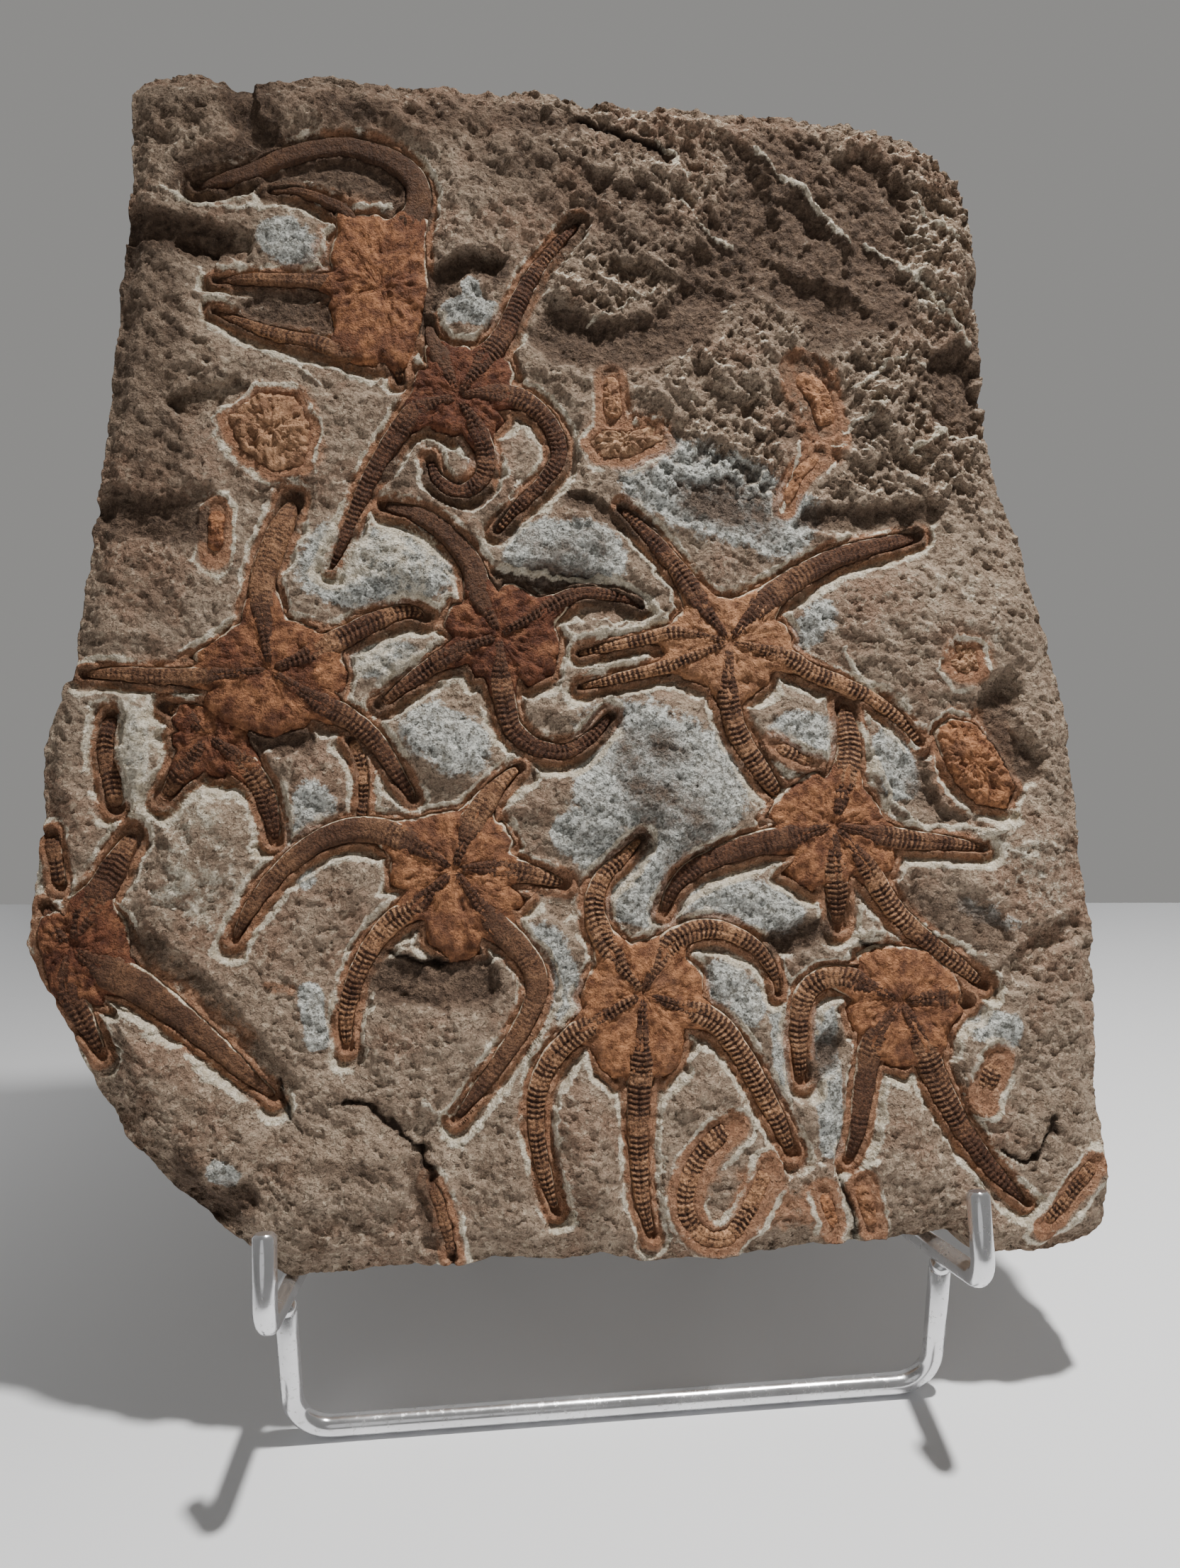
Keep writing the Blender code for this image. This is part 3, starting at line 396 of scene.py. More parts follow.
def disc_loop(arms, corners):
    """The disc's edge: its skin runs out along each arm and comes back to the edge between them."""
    loop = []
    for (root, _, line), edge in zip(arms, corners):
        start, ahead = np.array(line[0], float), np.array(line[1], float) - line[0]
        reach = min(SKIN, 0.6 * np.linalg.norm(ahead) * (len(line) - 1))
        ahead /= np.linalg.norm(ahead)
        across = np.array([-ahead[1], ahead[0]]) * root
        far = start + ahead * reach
        loop += [start - across * SKIN_ROOT, far - across * SKIN_END,
                 far + across * SKIN_END, start + across * SKIN_ROOT]
        loop += [np.array(corner, float) for corner in edge]
    return loop


def taper(root, tip, run):
    return root + (tip - root) * run / run[-1]


def clearance(places):
    """Distance to the nearest fossil's edge, negative under it, and that fossil's floor."""
    away, floor = np.full(len(places), REACH), np.full(len(places), OPEN_FLOOR)

    def take(near, distance, level):
        closer = distance < away[near]
        away[near[closer]], floor[near[closer]] = distance[closer], level

    arms = [(level, root, tip, line) for level, _, _, rows, _ in STARFISH.values()
            for root, tip, line in rows]
    arms += [(level + RAISED_FLOOR * (name in SHALLOW), root, tip, line)
             for name, (level, _, root, tip, line) in (ARM_PIECES | SLIGHT_ARMS).items()]
    for level, root, tip, line in arms:
        stations, run = smooth_line(line, 3.0)
        widths = FULL_ARM * taper(root, tip, run)
        for a, b, wide_a, wide_b in zip(stations, stations[1:], widths, widths[1:]):
            take(*from_capsule(places, a, b, wide_a, wide_b, REACH), level)
    for level, _, _, rows, corners in STARFISH.values():
        take(*from_polygon(places, disc_loop(rows, corners), REACH), level)
    for name, (level, _, loop) in (DISC_PATCHES | SLIGHT_PATCHES).items():
        take(*from_polygon(places, loop, REACH), level + RAISED_FLOOR * (name in SHALLOW))
    return away, floor


EDGE = disc_loop(*STARFISH["starfish_9"][3:])
print("one disc's edge has", len(EDGE), "corners;", len(SHALLOW), "fossils are shallow")

# %% [markdown]
# ## Hollows, domes, ridges and cracks
# Between the fossils the matrix isn't even. It has smooth tongues, broken hollows, thin ridges
# and cracks. Each is a line with a half width and a height: positive for a dome or ridge,
# negative for a hollow. A soft step across the width gives it its sides.

# %% Features of the rock
HOLLOWS = [
    ([(-127, 286), (-114, 284), (-103, 282), (-97, 281)], 4.5, -4),
    ([(-112, 280), (-106, 276)], 3.5, -3.2),
    ([(-46, 265), (-42, 270), (-35, 275), (-27, 276)], 4, -4.5),
    ([(-27, 184), (-15, 182), (0, 181), (12, 176)], 4, -4), ([(-4, 173.5), (10, 173)], 3, -3),
    ([(-9, 254), (2, 251), (14, 251), (26, 256), (34, 265)], 8, -2.2),
    ([(38, 272), (48, 286), (44, 300), (40, 309)], 11, -2.6), ([(57, 281), (64, 289)], 10, -2.0),
    ([(84, 302), (90, 292), (86, 274)], 10, -2.4), ([(60, 268), (78, 262)], 6, -2.5),
    ([(108, 244), (109, 231)], 8, -4), ([(60, 200), (76, 199), (97, 201)], 4.5, -2.4),
    ([(115, 149), (113, 139), (121, 127)], 6, -4), ([(88, 127), (92, 114), (103, 111)], 4.5, -3),
    ([(-57, 75), (-46, 72), (-36, 73)], 6.5, -3.2), ([(90, 92), (104, 80)], 8, -2),
    ([(-52, 28), (-50, 18), (-48, 8)], 4, -2.2), ([(-97, 21), (-107, 20)], 5, -2.2),
    ([(-121, 86), (-108, 73), (-98, 61), (-88, 48)], 4.5, -3.5),
    ([(-92, 262), (-80, 261), (-68, 258)], 5, -3.5),
    ([(-100, 301), (-84, 304), (-68, 304), (-56, 299)], 4, -3), ([(-96, 139), (-82, 138)], 3.5, -3),
    ([(60, 53), (57, 47)], 4, -3.5), ([(47, 80), (58, 83)], 4, -3.5),
    ([(-5, 205), (14, 198)], 3, -2.5), ([(-131, 204), (-120, 200), (-108, 205)], 6, -3),
    ([(-112, 233), (-98, 237)], 4, -3), ([(-97, 330), (-95, 318), (-90, 313)], 4, -3),
    ([(115, 70), (122, 78), (130, 81)], 4, -2.5), ([(-12, 91), (-15, 94)], 3.5, -3)]
DOMES = [
    ([(-106, 118), (-108, 108)], 10, 1.6), ([(-9, 40), (-10, 18)], 8, 1.6),
    ([(27, 45), (24, 42)], 9, 1.2), ([(79, 28), (80, 20)], 8, 1.6),
    ([(-64, 187), (-50, 187)], 9, 1.4), ([(-4, 196), (-12, 190)], 8, 1.4),
    ([(16, 132), (10, 118), (16, 110)], 16, 1.8), ([(-46, 139), (-42, 136)], 9, 1.6),
    ([(-125, 145), (-125, 128)], 5, 1.0), ([(90, 176), (112, 170)], 16, 1.2),
    ([(22, 240), (28, 244)], 10, 1.2), ([(50, 246), (44, 244)], 8, 1.4),
    ([(-118, 62), (-100, 34)], 12, 1.2), ([(-60, 24), (-78, 22)], 10, 1.0),
    ([(-44, 60), (-46, 50)], 12, 0.8), ([(100, 50), (112, 60)], 8, 1.0),
    ([(63, 300), (72, 290), (78, 283)], 2.5, 1.2), ([(-20, 311), (5, 309), (24, 300)], 6, 1.0)]
RIDGES = [
    ([(-118, 296), (-105, 291), (-90, 292)], 0.8, 1.1),
    ([(-80, 298), (-72, 293), (-55, 293)], 0.7, 0.9),
    ([(-92, 250), (-80, 243), (-75, 238)], 0.8, 0.9),
    ([(-27, 187), (-15, 184), (-4, 183), (5, 183), (13, 178.5), (18, 173)], 0.8, 1.4),
    ([(18, 173), (12, 168.5), (-8, 167)], 0.7, 1.0),
    ([(69, 162), (76, 151), (83, 143), (90, 134)], 0.8, 1.2),
    ([(73, 142), (76, 130), (82, 118), (88, 111), (100, 110.5), (112, 109)], 0.8, 1.2),
    ([(82, 88), (90, 82), (98, 78), (104, 74)], 0.8, 1.0),
    ([(65, 76), (70, 82), (76, 83)], 0.9, 0.9), ([(66, 299), (72, 290), (78, 283)], 0.8, 1.3),
    ([(52, 312), (60, 303), (66, 299)], 0.7, 1.0), ([(73, 226), (84, 232), (90, 238)], 0.7, 0.9),
    ([(78, 238), (90, 247), (100, 246)], 0.7, 0.8), ([(92, 219), (104, 225), (112, 224)], 0.9, 1.1),
    ([(22, 314), (28, 309), (32, 303)], 0.7, 0.9), ([(100, 300), (104, 292), (112, 286)], 0.7, 0.9),
    ([(60, 222), (58, 212), (54, 202)], 0.8, 1.0), ([(84, 284), (92, 278), (102, 268)], 0.8, 1.1),
    ([(102, 268), (108, 260), (113, 252)], 0.8, 0.9), ([(0, 258), (8, 261), (20, 268)], 0.7, 0.8),
    ([(30, 296), (36, 288), (44, 283)], 0.7, 0.9), ([(-50, 43), (-43, 38), (-36, 46)], 0.9, 0.8),
    ([(-140, 99), (-132, 100), (-124, 92)], 0.9, 0.9)]
CRACKS = [
    [(0, 320), (10, 317), (25, 311)], [(70, 79), (80, 76), (92, 75)],
    [(106, 23), (112, 18), (118, 25), (121, 30)], [(60, 17), (62, 8), (64, 1)],
    [(-87, 50), (-85, 40)],
    [(-70, 44), (-63, 41), (-56, 35), (-50, 28), (-46, 18), (-44, 8), (-43, 1)],
    [(-48, 96), (-40, 90), (-32, 92), (-27, 88)], [(-58, 82), (-48, 78), (-38, 80)]]
SOFT_SIDES, HARD_SIDES = 1.2, 0.5    # how much of a feature's half width is slope


def raised(places, features, sides=SOFT_SIDES):
    """What the features add to the height at each place."""
    lift = np.zeros(len(places))
    for line, width, height in features:
        stations, _ = smooth_line(line, 4.0)
        flat = width * (0.9 - sides / 2)
        share = np.zeros(len(places))
        for a, b in zip(stations, stations[1:]):
            near, away = from_capsule(places, a, b, 0, 0, width * 1.6)
            share[near] = np.maximum(share[near], 1 - smoothstep((away - flat) / (width * sides)))
        lift += height * share
    return lift


print(len(HOLLOWS), "hollows,", len(DOMES), "domes,", len(RIDGES), "ridges,", len(CRACKS), "cracks")

# %% [markdown]
# ## Shader arithmetic
# A finish is a formula over the surface, and Python reads better than a web of boxes. Signal
# wraps one output socket, and the usual operators each add a Math node. Everything else comes
# from Finish.node, which sets a node's own settings first and then its sockets.

# %% Signal and Finish
class Signal:
    """A value that varies over a surface; arithmetic on it adds Math nodes."""

    def __init__(self, socket):
        self.socket = socket

    def math(self, operation, first, second, clamp=False):
        tree = self.socket.id_data
        made = tree.nodes.new("ShaderNodeMath")
        made.operation, made.use_clamp = operation, clamp
        for slot, value in zip(made.inputs, (first, second)):
            if isinstance(value, Signal):
                tree.links.new(value.socket, slot)
            else:
                slot.default_value = value
        return Signal(made.outputs[0])

    def __add__(self, other): return self.math("ADD", self, other)
    def __radd__(self, other): return self.math("ADD", other, self)
    def __sub__(self, other): return self.math("SUBTRACT", self, other)
    def __rsub__(self, other): return self.math("SUBTRACT", other, self)
    def __mul__(self, other): return self.math("MULTIPLY", self, other)
    def __rmul__(self, other): return self.math("MULTIPLY", other, self)
    def clamped(self): return self.math("ADD", self, 0.0, clamp=True)


class Finish:
    """One material and the tree of nodes that colours it."""

    def __init__(self, name):
        self.material = bpy.data.materials.new(name)
        self.material.use_nodes = True
        self.tree = self.material.node_tree
        self.shader = self.tree.nodes["Principled BSDF"]
        self.place = self.node("TexCoord", output="Object")

    def node(self, kind, settings=None, inputs=None, output=0):
        made = self.tree.nodes.new("ShaderNode" + kind)
        for key, value in (settings or {}).items():
            setattr(made, key, value)
        self.set(made, inputs or {})
        return Signal(made.outputs[output])

    def set(self, made, inputs):
        for key, value in inputs.items():
            if isinstance(value, Signal):
                self.tree.links.new(value.socket, made.inputs[key])
            else:
                made.inputs[key].default_value = value

    def noise(self, size, detail, rough, seed):
        """Noise with lumps of the given size in mm, stretched to fill 0 to 1."""
        raw = self.node("TexNoise", {"noise_dimensions": "4D"}, {
            "Vector": self.place, "W": seed, "Scale": 1 / (size * MM),
            "Detail": detail, "Roughness": rough}, "Fac")
        return self.step(raw, 0.3, 0.7)

    def step(self, value, low, high):
        return self.node("MapRange", {"interpolation_type": "SMOOTHSTEP"}, {
            "Value": value, "From Min": low, "From Max": high})

    def mark(self, name):
        return self.node("Attribute", {"attribute_name": name}, output="Fac")

    def mix(self, share, first, second):
        return self.node("Mix", {"data_type": "RGBA"}, {0: share, 6: first, 7: second}, 2)

    def over(self, colour, paint, value, low, high, share):
        """Lay a paint over a colour, growing to the given share where the value is high."""
        return self.mix(self.step(value, low, high) * share, colour, paint)

    def tone(self, colour, amount):
        """Make a colour lighter or darker by a varying amount."""
        return self.node("VectorMath", {"operation": "SCALE"}, {0: colour, "Scale": amount})

    def bump(self, height, depth, strength, normal=None):
        """A normal from a height of 0 to 1 that stands for a depth in mm."""
        inputs = {"Height": height, "Distance": depth * MM, "Strength": strength}
        if normal:
            inputs["Normal"] = normal
        return self.node("Bump", {}, inputs)


def tint(red, green, blue):
    """A colour of 0 to 255 as seen, turned into the linear one that a shader wants."""
    return (*(((v / 255 + 0.055) / 1.055) ** 2.4 for v in (red, green, blue)), 1.0)


print("middle grey as a shader sees it:", round(tint(128, 128, 128)[0], 3))

# %% [markdown]
# ## Sandstone
# The matrix is a brown, fine-grained sandstone with paler tan tongues. Where the needle went
# deepest it's a sugary grey-white, there are rusty stains round the fossils, and a cream skin is
# left beside them. The cream is also painted highlight, where the rock looks up the slab towards
# the lamp and on the crests of the crags, and a dark brown is painted shade in the hollows, the
# trench floors and the low places, partly over darker rock. Vertex marks say where each kind is,
# and noise breaks up their edges. Bump gives the grain, which is much too fine to model.

# %% Colours of the rock, each from its dark to its light
TAN = tint(136, 115, 97), tint(184, 164, 143)
EVEN_TAN, REDDISH_BED, BROWN_BED = tint(158, 136, 116), tint(152, 116, 94), tint(108, 89, 74)
PALE_GRAIN, TAN_PIT, CRACK_SHADE = tint(208, 190, 166), tint(78, 60, 48), tint(44, 32, 26)
SUGARY = tint(124, 124, 117), tint(230, 231, 224)
SUGARY_PIT, SUGARY_STAIN = tint(86, 85, 80), tint(170, 158, 140)
RUSTY = tint(136, 88, 60), tint(184, 134, 100)
SHADED = tint(62, 48, 39), tint(118, 97, 81)
# cream skin, and painted highlight where the rock looks up the slab
CREAM_AND_HIGHLIGHT = tint(196, 180, 154), tint(246, 236, 216)
print("the lightest cream as a shader sees it:", [round(v, 2) for v in CREAM_AND_HIGHLIGHT[1]])


# %% Sandstone finish
def sandstone():
    rock = Finish("sandstone")
    broad, patchy = rock.noise(34, 4, 0.6, 1), rock.noise(6, 5, 0.65, 2)
    fine, grain = rock.noise(2.0, 4, 0.7, 3), rock.noise(0.7, 2, 0.7, 4)
    pits = rock.noise(1.6, 3, 0.6, 8)

    tan = rock.mix(patchy, *TAN)
    tan = rock.mix(broad * 0.6, tan, EVEN_TAN)
    tan = rock.over(tan, REDDISH_BED, rock.noise(22, 4, 0.6, 12), 0.45, 0.95, 0.5)
    tan = rock.over(tan, BROWN_BED, rock.noise(13, 4, 0.7, 17), 0.5, 0.95, 0.38)
    tan = rock.over(tan, PALE_GRAIN, fine, 0.55, 0.95, 0.5)
    tan = rock.over(tan, TAN_PIT, 1 - pits, 0.65, 1.0, 0.6)
    grey = rock.mix(rock.step(fine + grain * 0.5, 0.2, 1.1), *SUGARY)
    grey = rock.over(grey, SUGARY_PIT, 1 - pits, 0.6, 1.0, 0.45)
    grey = rock.mix(patchy * 0.3, grey, SUGARY_STAIN)

    ragged = (patchy - 0.5) * 0.5 + (fine - 0.5) * 0.3
    colour = rock.mix(rock.step(rock.mark("grey") + ragged, 0.3, 0.65), tan, grey)
    # hollow: darker rock and painted shade; cream: the cream skin and painted highlight
    for name, paints, spread, low, high, share in (
            ("rust", RUSTY, ragged, 0.3, 0.8, 0.75),
            ("hollow", SHADED, ragged * 0.8, 0.2, 0.85, 0.93),
            ("cream", CREAM_AND_HIGHLIGHT, ragged, 0.25, 0.7, 0.92)):
        colour = rock.over(colour, rock.mix(fine, *paints), rock.mark(name) + spread,
                           low, high, share)
    colour = rock.mix(rock.mark("crack") * 0.85, colour, CRACK_SHADE)
    colour = rock.tone(colour, 0.86 + grain * 0.26)

    rough = rock.bump(fine, 0.9, 0.9)
    rough = rock.bump(pits, 0.5, 0.8, rough)
    rough = rock.bump(grain * (0.5 + rock.mark("grey") * 0.7), 0.35, 0.8, rough)
    rock.set(rock.shader, {"Base Color": colour, "Roughness": 0.86 + fine * 0.12,
                           "Normal": rough, "Specular IOR Level": 0.25})
    return rock.material


SANDSTONE = sandstone()
print("sandstone:", len(SANDSTONE.node_tree.nodes), "nodes")

# %% [markdown]
# ## The slab
# One grid makes the whole slab. Its middle part is the face, laid over the outline as a Coons
# patch, which blends the four edges. The outermost rows fold down the broken sides and then run
# in over the back to its middle. Cells at the corners fold up to nothing and are merged away.
# The grid's own vertices are moved with numpy, because a height here needs a formula.

# %% Outline of the slab, as four edges
BOTTOM = [(-103, 15), (-92, 7), (-86, 1.0), (-78, 1.0), (-45, 1.2), (-10, 0.8), (15, -0.8),
          (38, -0.6), (64, 0.8), (80, 1.0), (93, 1.0), (99, -3.5), (118, -4.2), (128.5, -2.2)]
RIGHT = [(128.5, -2.2), (133, 4), (134.6, 25), (134.4, 38), (136, 58), (136.8, 78), (136.2, 100),
         (135.2, 126), (134.8, 142), (131, 162), (127, 181), (125, 195), (120, 208), (117, 222),
         (116.4, 238), (117.8, 262), (117, 286), (115, 306)]
TOP = [(-127, 326), (-122.5, 331), (-112, 333), (-94, 331.4), (-76, 332.8), (-45, 331.4),
       (-12, 330.2), (8, 327.4), (40, 326.2), (70, 324.4), (90, 320.8), (103, 316.4),
       (108, 311.5), (115, 306)]
LEFT = [(-103, 15), (-115, 25.4), (-126.6, 38), (-134, 54), (-141.6, 67), (-149.4, 79.5),
        (-151.8, 87), (-149.6, 98), (-148.6, 115), (-147.4, 136), (-144.4, 154.5),
        (-140.6, 157.5), (-139.6, 170), (-137, 193), (-134, 213), (-132, 240), (-129.5, 272),
        (-127, 304), (-127, 326)]
BITE_SIZE, BITE_DEPTH = 22, 1.2
CHIP_SIZE, CHIP_DEPTH = 3.5, 0.3
WHOLE_CORNER = 8.0       # near its ends an edge is less broken, so that the corners meet


def edge_line(points, count):
    """An edge of the slab as count + 1 places, broken into long bites and small chips by noise."""
    line, run = smooth_line(points, 0.5)
    stops = np.linspace(0, run[-1], count + 1)
    line = at_lengths(stops, run, line)
    ends = smoothstep(np.minimum(stops, run[-1] - stops) / WHOLE_CORNER)[:, None]
    bites = np.column_stack([roughness(line, BITE_SIZE, seed) for seed in (11, 12)]) * BITE_DEPTH
    chips = np.column_stack([roughness(line, CHIP_SIZE, seed) for seed in (13, 14)]) * CHIP_DEPTH
    return line + (bites + chips) * ends


print("lower edge, mm:", round(float(smooth_line(BOTTOM, 0.5)[1][-1]), 1))


# %% Places of the face
FACE_COLUMNS, FACE_ROWS, SIDE_RINGS, BACK_RINGS = 468, 556, 9, 15
SLAB_BACK, BACK_INSET = -27.0, 6.0


def face_places():
    """A Coons patch over the outline, as an array of rows by columns of places."""
    low, high = edge_line(BOTTOM, FACE_COLUMNS), edge_line(TOP, FACE_COLUMNS)
    left, right = edge_line(LEFT, FACE_ROWS), edge_line(RIGHT, FACE_ROWS)
    u = np.linspace(0, 1, FACE_COLUMNS + 1)[None, :, None]
    v = np.linspace(0, 1, FACE_ROWS + 1)[:, None, None]
    between = (1 - v) * low[None] + v * high[None] + (1 - u) * left[:, None] + u * right[:, None]
    corners = ((1 - u) * (1 - v) * low[0] + u * (1 - v) * low[-1]
               + (1 - u) * v * high[0] + u * v * high[-1])
    return between - corners


FACE = face_places()
PLACES = FACE.reshape(-1, 2)
ROW_PITCH = float(np.linalg.norm(FACE[1:, 200] - FACE[:-1, 200], axis=1).mean())
print(len(PLACES), "places on the face, in rows", round(ROW_PITCH, 2), "mm apart")

# %% [markdown]
# ### Where the rock is dark, pale or craggy
# Three tables more say what kind of rock is where. The craggy rock is broken in layers, and the
# dark places are worn smooth; their dark colour is partly darker brown rock and partly painted
# shade, where they lie in shadow. Every place is first moved about a little by noise, the stray,
# so that no zone and no hollow has a drawn edge.

# %% Dark, pale and craggy parts of the face
DARK = [
    ([(-127, 286), (-114, 284), (-103, 281)], 6, 0.9), ([(-8, 254), (8, 251), (28, 256)], 9, 1.0),
    ([(40, 274), (56, 290), (60, 304)], 17, 0.85), ([(82, 272), (88, 300)], 12, 0.8),
    ([(8, 132), (22, 124)], 15, 0.25), ([(-16, 193), (-2, 190)], 9, 0.4),
    ([(36, 206), (44, 203)], 8, 0.3), ([(100, 238), (112, 250)], 8, 0.6),
    ([(64, 268), (80, 276)], 10, 0.9), ([(72, 256), (92, 262)], 8, 0.7),
    ([(-92, 262), (-66, 258)], 6, 0.9), ([(28, 206), (50, 197)], 7, 0.5),
    ([(-96, 139), (-80, 138)], 4, 0.8), ([(60, 53), (56, 46)], 4, 0.8),
    ([(46, 80), (58, 83)], 5, 0.8), ([(-6, 206), (14, 198)], 4, 0.7),
    ([(-55, 214), (-27, 204)], 5, 0.6), ([(-76, 28), (-60, 25)], 3, 0.6),
    ([(60, 226), (66, 246)], 6, 0.4), ([(-95, 326), (-90, 312)], 7, 0.8),
    ([(-40, 324), (-8, 320)], 6, 0.5), ([(-70, 322), (-40, 316)], 5, 0.5),
    ([(-137, 200), (-106, 197)], 5, 0.7), ([(108, 244), (109, 231)], 7, 0.8),
    ([(115, 147), (114, 136), (121, 127)], 5, 0.8), ([(62, 200), (96, 201)], 4, 0.7),
    ([(-26, 183), (0, 180), (12, 176)], 4, 0.8), ([(-58, 74), (-34, 72)], 7, 1.0),
    ([(88, 90), (106, 80)], 8, 0.6), ([(-130, 90), (-120, 84)], 6, 0.6),
    ([(90, 124), (96, 114)], 6, 0.5), ([(-132, 203), (-110, 200)], 6, 0.5),
    ([(-52, 26), (-48, 8)], 4, 0.7), ([(-96, 20), (-108, 20), (-110, 30)], 5, 0.8),
    ([(-108, 300), (-80, 306), (-56, 300), (-50, 292)], 8, 1.0),
    ([(-48, 260), (-42, 270), (-34, 275), (-25, 273)], 4.5, 1.0), ([(-50, 92), (-32, 86)], 6, 0.4),
    ([(0, 320), (26, 310)], 4, 0.5), ([(12, 132), (12, 116), (24, 108)], 11, 0.36),
    ([(-22, 306), (12, 290)], 15, 0.5), ([(-118, 322), (-62, 327)], 9, 0.38),
    ([(-124, 272), (-120, 216)], 15, 0.5), ([(-128, 186), (-118, 176)], 8, 0.36)]
PALE = [
    ([(-107, 116), (-109, 98)], 11, 0.4), ([(-126, 146), (-124, 128)], 5, 0.6),
    ([(-70, 187), (-52, 188)], 11, 0.46), ([(-63, 160), (-53, 161)], 4, 0.4),
    ([(116, 106), (122, 94)], 10, 0.36), ([(84, 176), (112, 172)], 14, 0.16),
    ([(100, 286), (106, 262)], 9, 0.2)]
CRAGGY = [
    ([(20, 300), (100, 300)], 34, 1.0), ([(20, 262), (104, 250)], 34, 1.0),
    ([(30, 215), (100, 215)], 16, 0.9), ([(-110, 320), (0, 322)], 16, 0.7),
    ([(-120, 300), (-118, 190)], 16, 0.45), ([(124, 60), (124, 35)], 7, 0.4),
    ([(-30, 268), (0, 262)], 12, 0.6), ([(-138, 30), (-90, 20)], 12, 0.3)]
STRAY = np.column_stack([roughness(PLACES, 4, seed, 2) for seed in (21, 22)]) * 1.2
DARKNESS = np.clip(raised(PLACES + STRAY, DARK), 0, 1)
CRAGS = np.maximum(np.clip(raised(PLACES, CRAGGY), 0, 1) * (1 - 0.78 * DARKNESS), 0.12)
print("craggy rock is", round(float((CRAGS > 0.5).mean()), 2), "of the face")

# %% [markdown]
# ### Top of the matrix
# Where no fossil is near, the matrix is a swell with grain and pits on it. Craggy rock adds
# flakes: creased noise that is turned and stretched, so that its crests run slantwise as the
# layers do, and partly cut into ledges.

# %% Top of the matrix
LEDGE = 1.7


def ledges(height, step):
    """Turn an even slope into treads with steep risers, as rock breaks along its layers."""
    level = np.floor(height / step)
    return step * (level + smoothstep((height / step - level - 0.3) / 0.3))


def along_the_layers(places, cosine, sine, stretch):
    """Places turned, and squeezed one way, so that noise on them comes out in long flakes."""
    return places @ np.array([[cosine, sine], [-sine, cosine]]) / np.array([stretch, 1.0])


def matrix_top(places):
    slanted = along_the_layers(places, 0.8, 0.6, 2.6)
    steeper = along_the_layers(places, 0.6, -0.8, 2.8)
    bedded = places * np.array([0.3, 1.0])
    swell = 1.3 * roughness(places, 26, 1, 2) + 0.6 * roughness(places, 9, 2) + 0.1
    flakes = (1.2 * creased(slanted, 10, 3) + 0.75 * creased(steeper, 4, 4)
              + 2.0 * roughness(places, 14, 5, 2))
    crags = 0.4 * ledges(flakes, LEDGE) + 0.5 * flakes + 0.34 * creased(slanted, 1.8, 18, 2)
    pits = smoothstep((roughness(places, 3.0, 15, 2) - 0.35) / 0.3)
    grain = (0.25 * roughness(bedded, 2.0, 10, 2) - 0.6 * pits
             + 0.3 * creased(slanted + STRAY, 5.5, 6)
             + 0.16 * creased(slanted + 0.5 * STRAY, 2.0, 17, 2))
    return swell + CRAGS * crags + (1 - 0.35 * DARKNESS) * grain


MATRIX_TOP = matrix_top(PLACES)
print("matrix, mm:", round(float(MATRIX_TOP.min()), 1), "to", round(float(MATRIX_TOP.max()), 1))

# %% [markdown]
# ### Relief of the face
# Beside a fossil the height is the bed of its pocket: level with the pocket's floor, with a
# shoulder of rock left against a deep arm, and cut lower under the fossil so that it can't show
# through. From there a steep wall that the needle left goes up to the top of the matrix. The
# trench is wide below a fossil and tight above it, and the matrix curls up to a thin lip at the
# wall. The features from the tables are added to the top, and the rim and the cracks come last.

# %% Distances that shape the relief
def to_the_rim(places, reach=12.0):
    """Distance of each place from the slab's outline, no further than the reach."""
    edge = np.full(len(places), reach)
    for spot in np.vstack([edge_line(line, 160) for line in (BOTTOM, RIGHT, TOP, LEFT)]):
        near = near_places(places, spot, spot, reach)
        edge[near] = np.minimum(edge[near], np.linalg.norm(places[near] - spot, axis=1))
    return edge


def crack_depth(places):
    """0 to 1: how deep in a crack each place is."""
    depth = np.zeros(len(places))
    for line in CRACKS:
        stations, _ = smooth_line(line, 2.0)
        for a, b in zip(stations, stations[1:]):
            near, off = from_capsule(places, a, b, 0.2, 0.2, 2.0)
            depth[near] = np.maximum(depth[near], 1 - smoothstep(off / 1.1))
    return depth


def in_patches(share, strength, size, seed):
    """0 to 1 over the face, in patches of the given size; share says how much of it is 1."""
    return smoothstep(share + strength * roughness(PLACES, size, seed, 2))


AWAY, FLOOR = clearance(PLACES)
DEEP = smoothstep((-2.0 - FLOOR) / 1.2)
UPHILL = (np.gradient(AWAY.reshape(FACE.shape[:2]), axis=0) / ROW_PITCH).ravel()
BELOW, ABOVE = smoothstep(-UPHILL), smoothstep(UPHILL)
WALL_FOOT = np.maximum(1.0 + 1.8 * BELOW - 0.6 * ABOVE + 0.8 * roughness(PLACES, 11, 7, 2), 0.3)
FROM_WALL = AWAY + 0.4 * roughness(PLACES, 3, 9) - WALL_FOOT
print("deep pockets reach", round(float((DEEP * (AWAY < 0)).mean()), 2), "of the face")

# %% Height of the face
HOLLOW = raised(PLACES + STRAY, HOLLOWS, HARD_SIDES)
RIDGE = raised(PLACES + STRAY, RIDGES)
CRACK = crack_depth(PLACES + STRAY)
LIP = (np.exp(-((FROM_WALL - 1.3) / (0.55 + 0.35 * BELOW)) ** 2) * (1 - 0.8 * CRAGS)
       * np.clip(1 + HOLLOW / 2, 0, 1) * (1 - 0.7 * DARKNESS)
       * in_patches(0.7 + 0.2 * BELOW, 1.3, 12, 16))
DOME_HEIGHT, LIP_HEIGHT, CRACK_DEPTH = 1.6, 0.55, 1.7
RIM_DROP, RIM_WIDTH = 4.0, 9.0
BED, SHOULDER, SHOULDER_WIDTH, UNDERCUT = 1.1, 1.5, 2.6, 2.5


